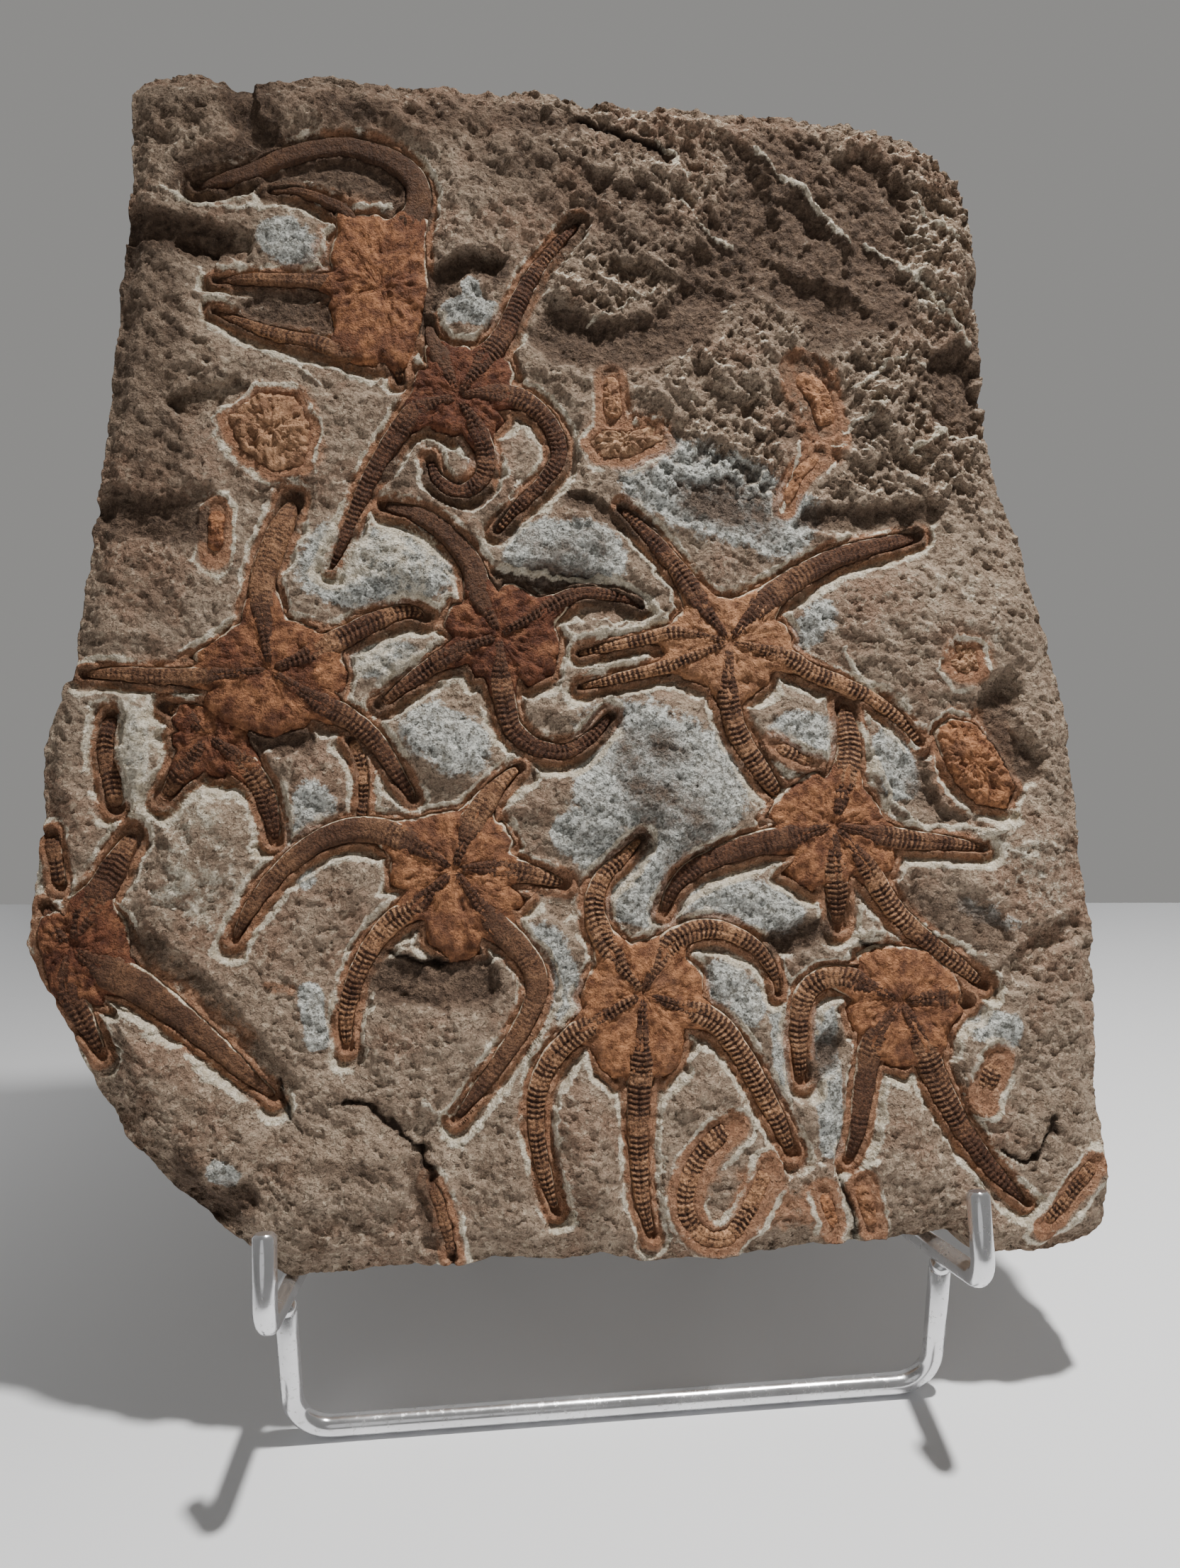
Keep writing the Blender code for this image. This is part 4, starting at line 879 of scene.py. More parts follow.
def face_height():
    """The height of the matrix at each place of the face."""
    top = MATRIX_TOP + HOLLOW + DOME_HEIGHT * raised(PLACES, DOMES) + RIDGE + LIP_HEIGHT * LIP
    top -= RIM_DROP * (1 - smoothstep(to_the_rim(PLACES) / RIM_WIDTH)) ** 1.5
    rise = 0.6 * smoothstep(FROM_WALL / 1.6) + 0.4 * smoothstep(FROM_WALL / 8)
    under = smoothstep(-AWAY / 0.8) * (0.3 + 0.7 * DEEP)
    shoulder = (SHOULDER * (1 - smoothstep(AWAY / SHOULDER_WIDTH)) * DEEP
                * (1 + 0.8 * roughness(PLACES, 7, 25, 2)))
    bed = FLOOR + BED + 0.4 * roughness(PLACES, 4, 8) + shoulder - UNDERCUT * under
    return bed + (top - bed) * rise - CRACK * CRACK_DEPTH


HEIGHT = face_height()
print("face relief, mm:", round(float(HEIGHT.min()), 1), "to", round(float(HEIGHT.max()), 1))

# %% [markdown]
# ### Marks that colour the slab
# A vertex mark is a number from 0 to 1 kept at each vertex. Soft blobs along short lines paint
# where the sugary grey rock and the rusty stains are, and where the hollows are dark: partly
# darker rock, partly painted shade, which also darkens the trench floors, more so up the slab,
# and the low places of the crags. The cream skin follows the fossils by itself: it's in a broken
# band along each wall and on the lips and ridges, and painted highlight makes it strongest where
# the rock looks up the slab towards the lamp and on the crests of the crags that look up. A short
# table adds the pale tops.

# %% Zones of colour
GREY_ROCK = [
    ([(-70, 187), (-50, 188)], 11, 1.0), ([(-16, 191), (0, 189)], 9, 0.9),
    ([(20, 213), (52, 200)], 12, 0.9), ([(8, 132), (10, 118), (24, 125)], 16, 1.0),
    ([(-46, 141), (-38, 136)], 8, 0.8), ([(-64, 161), (-54, 160)], 5, 0.9),
    ([(-78, 122), (-76, 114)], 6, 0.7), ([(-125, 145), (-125, 126)], 4, 0.8),
    ([(53, 138), (66, 136)], 6, 0.9), ([(82, 134), (84, 124)], 6, 0.9),
    ([(58, 166), (64, 172)], 5, 0.6), ([(-18, 82), (-12, 68)], 6, 0.9),
    ([(6, 93), (20, 90), (34, 92), (48, 88)], 6, 1.0), ([(30, 70), (36, 64)], 6, 0.9),
    ([(-33, 268), (-32, 265)], 2.5, 1.0), ([(-38, 261), (-27, 261)], 3.4, 1.0),
    ([(-86, 283), (-78, 277)], 6, 0.9), ([(58, 60), (58, 26)], 3.5, 1.0),
    ([(46, 60), (46, 42)], 3, 0.9), ([(102, 56), (108, 54)], 5, 0.8),
    ([(-30, 218), (-34, 222)], 4, 0.8), ([(12, 98), (2, 92)], 4, 0.9),
    ([(-79, 72), (-77, 60)], 3, 0.9), ([(-102, 28), (-100, 27)], 3, 0.8),
    ([(-2, 105), (-10, 112)], 5, 0.8), ([(-84, 112), (-80, 102)], 4, 0.5),
    ([(100, 88), (112, 84)], 4, 0.3)]
RUST = [
    ([(-88, 226), (-86, 222)], 12, 0.9), ([(8, 224), (14, 222)], 9, 0.8),
    ([(66, 240), (68, 228)], 7, 0.9), ([(103, 126), (108, 134)], 12, 0.8),
    ([(104, 158), (106, 158)], 7, 0.8), ([(-148, 92), (-148, 84)], 7, 0.9),
    ([(-90, 74), (-84, 73)], 2, 0.6), ([(62, 238), (68, 222)], 7, 0.9),
    ([(56, 208), (64, 216)], 4, 0.6), ([(-104, 198), (-103, 190)], 4, 0.5),
    ([(38, 10), (60, 10)], 7, 0.45), ([(20, 18), (40, 14)], 9, 0.35),
    ([(-120, 84), (-96, 62)], 5, 0.4), ([(104, 46), (100, 34)], 5, 0.5),
    ([(-66, 262), (-60, 286)], 16, 0.5), ([(-108, 140), (-104, 134)], 10, 0.5)]


def smoothed(grid, times=4, step=3):
    """The grid with each value averaged with others a few steps away, a few times over."""
    for _ in range(times):
        for axis in (0, 1):
            grid = (np.roll(grid, step, axis) + grid + np.roll(grid, -step, axis)) / 3
    return grid


def face_marks():
    """The marks of the face: each a number from 0 to 1 for every place."""
    lift = HEIGHT.reshape(FACE.shape[:2])
    # looks_up is 1 on slopes that face up the slab, towards the lamp; it places painted highlight
    looks_up = smoothstep((-np.gradient(lift, axis=0).ravel() / ROW_PITCH - 0.3) / 1.0)
    low = smoothstep(0.5 - (lift - smoothed(lift)).ravel() / 1.2)
    beside = (smoothstep((7 - AWAY) / 3) * smoothstep((AWAY - 0.3) / 1.0) * (1 - 0.75 * CRAGS)
              * (1 - 0.8 * DARKNESS) * in_patches(0.8, 1.2, 9, 19))
    band = (np.exp(-((FROM_WALL - 1.2) / 1.6) ** 2) * (1 - CRAGS) * (1 - DARKNESS)
            * in_patches(0.7, 1.2, 14, 24))
    # painted highlight on the crests of the crags that look up, kept out of their low places
    crests = CRAGS * smoothstep(looks_up * 1.5 - low)
    # painted shade on the floors of the trenches, stronger up the slab
    dug = smoothstep(-FROM_WALL / 1.2) * DEEP
    shade = 0.12 + 0.42 * smoothstep((PLACES[:, 1] - 50) / 110)      # deeper up the slab
    marks = {
        "grey": np.clip(1.5 * raised(PLACES, GREY_ROCK), 0, 1) * smoothstep(FROM_WALL / 2 + 1),
        "rust": (raised(PLACES, RUST) + 0.45 * smoothstep((7 - AWAY) / 7)
                 + 0.5 * smoothstep((SHOULDER_WIDTH - AWAY) / 1.6)),
        # hollow: dark zones, partly darker rock and partly painted shade, and painted shade in
        # trenches and crag low places
        "hollow": DARKNESS + 0.5 * CRAGS * low + shade * dug,
        # the cream skin by the fossils, with painted highlight where the rock looks up and on lit
        # crests
        "cream": (0.8 * looks_up * beside + 0.8 * LIP + 0.7 * RIDGE + 0.6 * crests + 0.45 * band
                  + raised(PLACES, PALE)),
        "crack": CRACK}
    return {name: np.clip(values, 0, 1) for name, values in marks.items()}


FACE_MARKS = face_marks()
print("cream covers", round(float((FACE_MARKS["cream"] > 0.5).mean()), 2), "of the face")

# %% [markdown]
# The folded grid has some six hundred thousand triangles, which is unwieldy as one mesh. It's cut
# straight across into four blocks. bisect_plane throws away what lies beyond each cut, and filling
# the cut keeps every block closed. The cut faces touch inside the rock, where nobody sees them.

# %% Fold the grid into a slab
CUTS = (-50, 82, 168, 250, 400)
BACK_MIDDLE = np.array([-7.0, 165.0])
WRAP = SIDE_RINGS + BACK_RINGS


def folded_places():
    """The place of every vertex of the grid, the index of its place on the face, and its ring."""
    i, j = np.meshgrid(np.arange(FACE_COLUMNS + 2 * WRAP + 1) - WRAP,
                       np.arange(FACE_ROWS + 2 * WRAP + 1) - WRAP)
    i, j = i.ravel(), j.ravel()
    on_i, on_j = np.clip(i, 0, FACE_COLUMNS), np.clip(j, 0, FACE_ROWS)
    ring = np.maximum(abs(i - on_i), abs(j - on_j))
    index = on_j * (FACE_COLUMNS + 1) + on_i
    place, height = PLACES[index], HEIGHT[index]

    outwards = place - BACK_MIDDLE
    outwards /= np.linalg.norm(outwards, axis=1)[:, None]
    down = np.clip(ring / SIDE_RINGS, 0, 1)
    bulge = 1.2 * np.sin(down * math.pi) - BACK_INSET * down ** 6
    z = height + (SLAB_BACK + 0.4 - height) * down
    unrolled = np.column_stack([place @ np.array([0.8, 1.25]), z])
    side = (ring > 0) * np.clip(2 * down, 0, 1) * np.clip(place[:, 1] / 6, 0, 1)
    broken = side * (ledges(roughness(unrolled, 9, 31) * 2.2, 0.8)
                     + roughness(unrolled, 3, 32) * 0.7)
    place = place + outwards * (bulge + broken - 0.8 * side)[:, None]
    inward = np.clip((ring - SIDE_RINGS) / BACK_RINGS, 0, 1)[:, None]
    place = place + (BACK_MIDDLE - place) * inward
    rough_back = np.abs(roughness(place, 30, 33)) * 2.0 + np.abs(roughness(place, 8, 34)) * 0.9
    z = np.where(ring > SIDE_RINGS, SLAB_BACK + 0.2 + rough_back, z)
    return np.column_stack([place, z]), index, ring


def folded_grid():
    """The whole slab as one closed bmesh, in its own frame, with its marks."""
    whole = bmesh.new()
    bmesh.ops.create_grid(whole, x_segments=FACE_COLUMNS + 2 * WRAP,
                          y_segments=FACE_ROWS + 2 * WRAP, size=0.5)
    places, index, ring = folded_places()
    for vert, place in zip(whole.verts, places.tolist()):
        vert.co = place
    for name, marks in FACE_MARKS.items():
        layer = whole.verts.layers.float.new(name)
        for vert, value in zip(whole.verts, np.where(ring > 0, 0.0, marks[index]).tolist()):
            vert[layer] = value
    bmesh.ops.remove_doubles(whole, verts=whole.verts, dist=MERGE)
    return whole


SLAB = folded_grid()
for number, (low, high) in enumerate(zip(CUTS, CUTS[1:]), 1):
    block = SLAB.copy()
    for height, above in ((low, False), (high, True)):
        cut = bmesh.ops.bisect_plane(block, geom=block.verts[:] + block.edges[:] + block.faces[:],
                                     plane_co=(0, height, 0), plane_no=(0, 1, 0),
                                     clear_outer=above, clear_inner=not above)
        edges = [g for g in cut["geom_cut"] if isinstance(g, bmesh.types.BMEdge)]
        bmesh.ops.holes_fill(block, edges=edges, sides=0)
    finish_piece(f"slab_of_sandstone_{number}", block, SANDSTONE, "rock_slab")
SLAB.free()

# %% [markdown]
# ## Fossil starfish
# The arm of a starfish of this kind has two rows of small plates on its underside, which is the
# side that shows. They look like ribs, with a furrow between the rows. Each row runs through the
# disc to its centre, and the orange skin of the disc lies between. Ribs are dark in their grooves
# and pale on their crests, and some fossils are dim all over or worn smooth. The sides that look
# up the slab are cream: partly the skin left on them, partly painted highlight. Marks on the
# vertices carry all of that, so that one finish serves every fossil.

# %% Colours of the fossils, each from its dark to its light
ORANGE_SKIN = tint(98, 60, 39), tint(190, 134, 94)
PALE_SKIN = tint(140, 106, 78), tint(206, 172, 138)
DIM_SKIN = tint(66, 36, 25), tint(120, 74, 52)
RIB_CREST = tint(102, 64, 42), tint(206, 158, 118)
DIM_CREST = tint(56, 35, 26), tint(98, 64, 47)
WORN_BACK = tint(68, 44, 30), tint(128, 92, 67)
FURROW = tint(50, 31, 22), tint(84, 56, 41)
# the cream flank, light partly as painted highlight on the sides that look up the slab
CREAM_FLANK_AND_HIGHLIGHT = tint(196, 174, 144), tint(240, 226, 202)
SKIN_BLOTCH, DIM_BACK = tint(128, 92, 70), tint(66, 51, 42)
print("the lightest orange as a shader sees it:", [round(v, 2) for v in ORANGE_SKIN[1]])


# %% Fossil finish
def fossil():
    star = Finish("fossil_calcite")
    blotch, mottled = star.noise(8, 3, 0.6, 5), star.noise(2.2, 4, 0.65, 6)
    fine = star.noise(0.6, 2, 0.7, 7)
    dim, worn, dimmed = star.mark("dim"), star.mark("worn"), star.mark("dim").clamped()

    skin = star.mix(mottled, *ORANGE_SKIN)
    skin = star.over(skin, star.mix(mottled, *PALE_SKIN), dim * -1.0, 0.0, 1.0, 0.75)
    skin = star.over(skin, SKIN_BLOTCH, blotch, 0.45, 1.0, 0.6)
    skin = star.over(skin, star.mix(mottled, *DIM_SKIN), dim + (blotch - 0.5) * 0.6, 0.1, 1.0, 1.0)
    crest = star.mix(mottled * 0.7 + fine * 0.3, *RIB_CREST)
    crest = star.mix(dimmed * 0.92, crest, star.mix(fine, *DIM_CREST))
    crest = star.mix(worn, crest, star.mix(mottled * 0.6 + blotch * 0.4, *WORN_BACK))
    crest = star.mix(worn * dimmed * 0.75, crest, DIM_BACK)
    ribbed = star.step(star.mark("rib") + (fine - 0.5) * 0.4, 0.15, 0.9)
    colour = star.mix(star.mark("band"), skin,
                      star.mix(ribbed, star.mix(mottled, *FURROW), crest))
    # the cream flank on sides that look up the slab: skin left there, and painted highlight
    colour = star.over(colour, star.mix(mottled, *CREAM_FLANK_AND_HIGHLIGHT),
                       star.mark("flank") + (mottled - 0.5) * 0.4, 0.35, 0.8, 0.9)
    colour = star.tone(colour, 0.86 + fine * 0.24)
    normal = star.bump(fine, 0.3, 0.8, star.bump(mottled, 0.5, 0.7))
    star.set(star.shader, {"Base Color": colour, "Roughness": 0.74 + fine * 0.2,
                           "Normal": normal, "Specular IOR Level": 0.3})
    return star.material


FOSSIL = fossil()
print("fossil:", len(FOSSIL.node_tree.nodes), "nodes")

# %% [markdown]
# ### Grids that carry marks
# Every fossil is made from grids, because a grid's vertices come row by row and can be laid
# through an array of places in one go. The marks are laid with them.

# %% Grids that carry marks
MARKS = ("rib", "band", "flank", "worn", "dim")


def new_fossil():
    bm = bmesh.new()
    for name in MARKS:
        bm.verts.layers.float.new(name)
    return bm


def lay_grid(bm, places, marks):
    """Add a grid of faces through rows by columns of places; a mark that isn't given is 0."""
    rows, columns = places.shape[:2]
    verts = bmesh.ops.create_grid(bm, x_segments=columns - 1, y_segments=rows - 1,
                                  size=0.5)["verts"]
    layers = [bm.verts.layers.float[name] for name in MARKS]
    worth = np.stack([np.broadcast_to(marks.get(name, 0.0), (rows, columns)) for name in MARKS],
                     axis=2)
    for vert, place, values in zip(verts, places.reshape(-1, 3).tolist(),
                                   worth.reshape(-1, len(MARKS)).tolist()):
        vert.co = place
        for layer, value in zip(layers, values):
            vert[layer] = value


print("marks on a fossil:", *MARKS)

# %% [markdown]
# ### One strip for each arm
# The strip's section is a short table: how far across, how high, and how much of the pale flank
# is there. Its last column is the first one again, so that merging closes the strip into a tube.
# The width shrinks to nothing at both ends, which closes those too. The ribs are a wave along
# the strip, slanted back from the furrow, and are weak where the arm is worn.

# %% Arm strips
RIB, RIB_STATIONS, RIB_HEIGHT = 1.42, 5, 0.42
RIB_SLANT = 0.22
GROOVE_DEPTH, SIDE_GROOVE = 0.3, 0.54
SECTION = np.array([  # across, up, flank
    (-1.12, -0.30, 1), (-1.04, 0.10, 1), (-0.99, 0.45, 1), (-0.91, 0.74, 0.7), (-0.77, 0.90, 0.15),
    (-SIDE_GROOVE, 0.97, 0), (-0.28, 1.0, 0), (0, 0.95, 0), (0.28, 1.0, 0), (SIDE_GROOVE, 0.97, 0),
    (0.77, 0.90, 0.15), (0.91, 0.74, 0.7), (0.99, 0.45, 1), (1.04, 0.10, 1), (1.12, -0.30, 1),
    (-1.12, -0.30, 1)])


def cream_and_highlight_side(upwards):
    """1 on a side that looks up the slab, towards the lamp, and 0 below: the cream skin left there,
    and painted highlight.
    """
    return smoothstep(0.5 + 0.9 * upwards)


def arm_strip(bm, stations, run, widths, floor, crest, ribbed, seed, dim, free=1.0):
    """A closed strip along the stations; crest is its height over the floor at each of them.

    free is 0 in the disc and 1 beyond it, where the strip's sides show and are pale.
    """
    at, up, flank = SECTION.T[:, None]
    widths, crest, ribbed = widths[:, None], crest[:, None], ribbed[:, None]
    free = np.broadcast_to(free, len(stations))[:, None]
    across = sideways(stations)
    waver = 1 + 0.07 * roughness(stations, 5, seed + 60, 2)[:, None]
    wear = smoothstep(0.6 + 1.1 * roughness(stations, 6, seed, 2))[:, None]
    patchy = roughness(stations, 16, seed + 3, 2)[:, None]

    wave = 0.5 + 0.5 * np.cos(2 * math.pi * (run[:, None] + RIB_SLANT * np.abs(at) * widths) / RIB)
    groove = np.exp(-(at / 0.15) ** 2) + 0.6 * np.exp(-((np.abs(at) - SIDE_GROOVE) / 0.1) ** 2)
    strength = ribbed * np.clip((1.04 - np.abs(at)) / 0.25, 0, 1) * (0.35 + 0.65 * wear)
    places = np.empty((len(stations), len(SECTION), 3))
    places[:, :, :2] = stations[:, None] + across[:, None] * (at * widths * waver)[..., None]
    places[:, :, 2] = (floor + crest * up + strength * RIB_HEIGHT * (wave - 0.5)
                       - groove * GROOVE_DEPTH * ribbed)
    # the flank mark is cream skin and painted highlight on the side that looks up the slab
    lay_grid(bm, places, {
        "rib": 1 - (1 - wave * (1 - 0.6 * groove)) * np.clip(strength * 1.25, 0, 1),
        "band": 1.0, "flank": flank * cream_and_highlight_side(np.sign(at) * across[:, 1:]) * free,
        "worn": np.clip(0.8 - ribbed, 0, 1),
        "dim": np.clip(dim + 0.65 * (1 - free) + 0.6 * patchy, -1, 1)})


def ending(run, length):
    """0 at a strip's two ends, rounding up to 1 within the given length."""
    from_end = np.clip(np.minimum(run, run[-1] - run) / length, 0, 1)
    return np.sqrt(1 - (1 - from_end) ** 2)


print("a rib is", RIB, "mm long and has", RIB_STATIONS, "stations of", len(SECTION), "places")

# %% [markdown]
# ### Discs
# A disc is a fan: a grid whose columns go round the centre and whose rows run out from it, over
# the edge and back underneath. Its edge follows the corners between the arms, softened so that it
# bays in between them. Plates and grain come from noise, and the arms' strips lie over it.

# %% Disc fans
FAN_COLUMNS = 160
FLAT_ROWS = 11           # rows on the flat of the disc, a fourteenth of the way out each
FAN_ROWS = np.array([(0.07 * row, 1, 0) for row in range(FLAT_ROWS)] + [  # out, up, flank
    (0.77, 0.99, 0), (0.83, 0.97, 0), (0.89, 0.92, 0.1), (0.94, 0.80, 0.4), (0.98, 0.58, 0.8),
    (1.02, 0.3, 1), (1.05, 0, 1), (1.08, -0.3, 1), (0, -0.3, 1)])
HUB = 2.4                # how far the dip at the centre reaches, in mm


def fan_edge(centre, loop, soften=4):
    """How far the edge is from the centre, in each direction round it."""
    turns = np.linspace(0, 2 * math.pi, FAN_COLUMNS, endpoint=False)
    rays = np.column_stack([np.cos(turns), np.sin(turns)])
    loop = np.array(loop, float) - centre
    out = np.zeros(FAN_COLUMNS)
    for a, b in zip(loop, np.roll(loop, -1, axis=0)):
        along = b - a
        cross = rays[:, 0] * along[1] - rays[:, 1] * along[0]
        cross = np.where(abs(cross) < 1e-9, 1e-9, cross)
        far = (a[0] * along[1] - a[1] * along[0]) / cross
        share = (a[0] * rays[:, 1] - a[1] * rays[:, 0]) / cross
        hit = (far > 0) & (share >= -1e-6) & (share <= 1 + 1e-6)
        out = np.where(hit, np.maximum(out, far), out)
    for _ in range(soften):
        out = (np.roll(out, 1) + 2 * out + np.roll(out, -1)) / 4
    return rays, out


def disc_fan(bm, centre, loop, floor, height, lumps, sag, dip, seed, dim):
    """A disc that stands so high over the floor; it sags to its edge and dips at its centre."""
    rays, edge = fan_edge(np.array(centre, float), loop)
    edge = edge * (1 + 0.03 * roughness(centre + rays * 12, 3, seed + 7, 2))
    rays, edge = np.vstack([rays, rays[:1]]), np.append(edge, edge[0])
    out, up, flank = FAN_ROWS.T[:, :, None]
    on_top = up > 0.3
    places = np.empty((len(out), FAN_COLUMNS + 1, 3))
    places[:, :, :2] = centre + rays[None] * (out * edge)[..., None]
    flat = places[:, :, :2].reshape(-1, 2)
    grain = (1.3 * creased(flat, 6, seed) - 0.7 * creased(flat, 2.2, seed + 1, 2)) * lumps
    places[:, :, 2] = (floor + height * up * (1 - sag * out ** 2)
                       + grain.reshape(out.size, -1) * (on_top & (out > 0))
                       - dip * on_top * np.exp(-(out * edge / HUB) ** 2))
    places[:, -1] = places[:, 0]
    # the flank mark is cream skin and painted highlight on the disc's edge that looks up the slab
    lay_grid(bm, places, {"rib": 1.0, "flank": flank * cream_and_highlight_side(rays[:, 1]), "dim": dim})


print("a fan has", len(FAN_ROWS), "rows of", FAN_COLUMNS, "places")

# %% [markdown]
# ### Putting a starfish together
# Some arms lie with their backs up, or are weathered, and show few ribs. One table gives how
# strongly each of those is ribbed, and all others are ribbed fully. Another gives how dim the
# colour of a fossil is, from 0 for orange to 1 for a dark red-brown, and below 0 for pale. Both
# have rows for a whole fossil or for one arm of it. An arm's strip starts at the disc's centre:
# it's narrow and low in the disc, and comes to its full width at the root.

# %% Starfish
FAINT_RIBS = {
    ("starfish_1", 0): 0.1, ("starfish_1", 1): 0.3, ("starfish_1", 2): 0.4, ("starfish_1", 3): 0.6,
    ("starfish_2", 1): 0.2, ("starfish_3", 1): 0.5, ("starfish_3", 2): 0.5, ("starfish_5", 1): 0.35,
    ("starfish_6", 0): 0.6, ("starfish_7", 2): 0.7, ("starfish_8", 1): 0.5, ("starfish_8", 2): 0.5,
    ("starfish_8", 4): 0.45, ("starfish_10", 2): 0.6, ("starfish_11", 3): 0.3, "arm_piece_4": 0.5}
# The first arm of starfish_6 lies in shadow, so its dark red-brown is partly painted shade.
DIM = {
    "starfish_1": 0.45, ("starfish_1", 0): 1.0, ("starfish_1", 1): 0.7, ("starfish_1", 2): 0.6,
    "starfish_2": 1.0, "starfish_3": 0.55, ("starfish_3", 3): 0.8, "starfish_4": 0.8,
    "starfish_5": 0.9, "starfish_6": -0.3, ("starfish_6", 0): 1.0, ("starfish_6", 1): 1.0,
    ("starfish_6", 4): 0.4, "starfish_7": 0.45, ("starfish_7", 2): 1.0, "starfish_8": 0.35,
    ("starfish_8", 2): 0.85, ("starfish_8", 4): 0.9, "starfish_10": 0.35, ("starfish_10", 2): 0.9,
    ("starfish_10", 3): 0.8, "starfish_11": 0.8, "arm_piece_1": -0.6, "arm_piece_4": 0.4,
    "arm_piece_5": -0.3, "arm_piece_7": 0.7, "arm_piece_9": 0.7, "arm_piece_10": -0.5,
    "arm_piece_11": -0.3, "arm_piece_12": -0.3, "slight_arm_1": 0.4, "disc_patch_1": 0.1,
    "disc_patch_2": -0.6, "disc_patch_3": -0.9, "slight_patch_1": -0.7}
BARE_DISCS = ("starfish_1",)         # their arms' ribs hardly show in the disc
SUNK = 0.2               # how deep a fossil's own floor lies in its bed
HALF_FURROW = 1.2        # an arm's half width at the disc's centre


def starfish(name, spec):
    level, height, centre, arms, corners = spec
    seed, dim = 200 + 10 * int(name.split("_")[1]), DIM.get(name, 0.1)
    bare = name in BARE_DISCS
    bm = new_fossil()
    disc_fan(bm, centre, disc_loop(arms, corners), level - SUNK, height,
             0.32 if bare else 0.3, 0.12, 1.0, seed, dim)
    for index, (root, tip, line) in enumerate(arms):
        stations, run = smooth_line([centre, *line], RIB / RIB_STATIONS)
        to_root, to_tip = math.dist(centre, line[0]), run[-1] - run
        past_root = run - to_root
        inner = np.clip(run / to_root, 0, 1)
        outer = np.clip(past_root / max(run[-1] - to_root, 1), 0, 1)
        free = smoothstep(past_root / 4 + 0.5)

        in_disc = (HALF_FURROW + (0.75 * root - HALF_FURROW) * inner ** 0.9
                   + 0.25 * root * inner ** 4)
        widths = np.where(past_root < 0, in_disc, root + (tip - root) * outer)
        widths *= 1 + (FULL_ARM - 1) * smoothstep(inner * 2 - 1)
        widths *= 0.6 + 0.4 * smoothstep(to_tip / 12)
        crest = height * (1.05 - 0.08 * inner ** 2 - 0.25 * outer)
        crest += -1.2 * (1 - free) if bare else 0.5 * (1 - smoothstep((past_root - 5) / 5))
        crest += 0.3 * roughness(stations, 9, seed + 8, 2) - 1.1 * np.exp(-(run / HUB) ** 2)
        crest *= 0.55 + 0.45 * smoothstep(to_tip / 9)
        faint = FAINT_RIBS.get((name, index), 1.0)
        ribbed = 1 + (faint - 1) * smoothstep(inner * 1.2 - 0.2)
        rounded = ending(run, 1.5 * tip)
        arm_strip(bm, stations, run, widths * rounded, level - SUNK, crest * rounded,
                  ribbed * rounded, seed + index, DIM.get((name, index), dim), free)
    finish_piece(name + "_fossil", bm, FOSSIL, name)


for name, spec in STARFISH.items():
    starfish(name, spec)

# %% [markdown]
# ### Loose arms and crumbled discs
# A loose arm is the same strip without a disc. A crumbled one has lost its ribs, so it's a low,
# lumpy fan like the crumbled discs, with the outline of an arm.

# %% Loose arms
LOW = {"arm_piece_1": 0.75, "arm_piece_8": 0.8}


def loose_arm(name, spec, node, seed):
    level, height, root, tip, line = spec
    bm = new_fossil()
    stations, run = smooth_line(line, RIB / RIB_STATIONS)
    rounded = ending(run, 2.2 * tip)
    widths = FULL_ARM * taper(root, tip, run) * (1 + 0.15 * roughness(stations, 6, seed + 2, 2))
    widths *= (0.3 + 0.7 * rounded) * ending(run, 0.8 * tip)
    crest = height * LOW.get(name, 0.9) * (1 - 0.15 * run / run[-1])
    crest += 0.4 * roughness(stations, 5, seed, 2) + RAISED_CREST * (name in SHALLOW)
    arm_strip(bm, stations, run, widths, level - SUNK, crest * rounded,
              FAINT_RIBS.get(name, 0.85) * rounded, seed + 1, DIM.get(name, 0.1))
    finish_piece(name + "_fossil", bm, FOSSIL, node)


# %% Crumbled discs and arms
def crumbled_disc(name, spec, node, seed):
    level, height, loop = spec
    bm = new_fossil()
    disc_fan(bm, np.mean(np.array(loop, float), axis=0), loop, level - SUNK,
             height + RAISED_DISC * (name in SHALLOW), 0.3 if name in CRUMBLED_ARMS else 0.5,
             0.2, 0.0, seed, DIM.get(name, 0.0))
    finish_piece(name + "_fossil", bm, FOSSIL, node)


def round_arm(line, root, tip):
    """The outline of a short length of arm, once round it."""
    stations, run = smooth_line(line, 1.5)
    across = sideways(stations)
    across *= (taper(root, tip, run) * (0.5 + 0.5 * ending(run, root)))[:, None]
    return [*(stations - across), *(stations + across)[::-1]]


for seed, (name, spec) in enumerate((ARM_PIECES | SLIGHT_ARMS).items()):
    node = name if name in ARM_PIECES else None
    if name in CRUMBLED_ARMS:
        level, height, root, tip, line = spec
        crumbled_disc(name, (level, height, round_arm(line, root, tip)), node, 400 + 4 * seed)
    else:
        loose_arm(name, spec, node, 400 + 4 * seed)
for seed, (name, spec) in enumerate((DISC_PATCHES | SLIGHT_PATCHES).items()):
    crumbled_disc(name, spec, name if name in DISC_PATCHES else None, 500 + 4 * seed)

# %% [markdown]
# ## The stand
# The stand is one size of chromed wire in three bends: a cradle whose prongs hold the slab, and a
# front and a rear foot welded to it. A wire is a circle extruded along its path. The circle is
# turned with the path at each step, so the wire stays round in its bends. The cradle is drawn in
# the slab's frame and the feet upright. The wires are drawn a tenth of a millimetre slimmer than
# their solids, so that they stay clear of the slab.

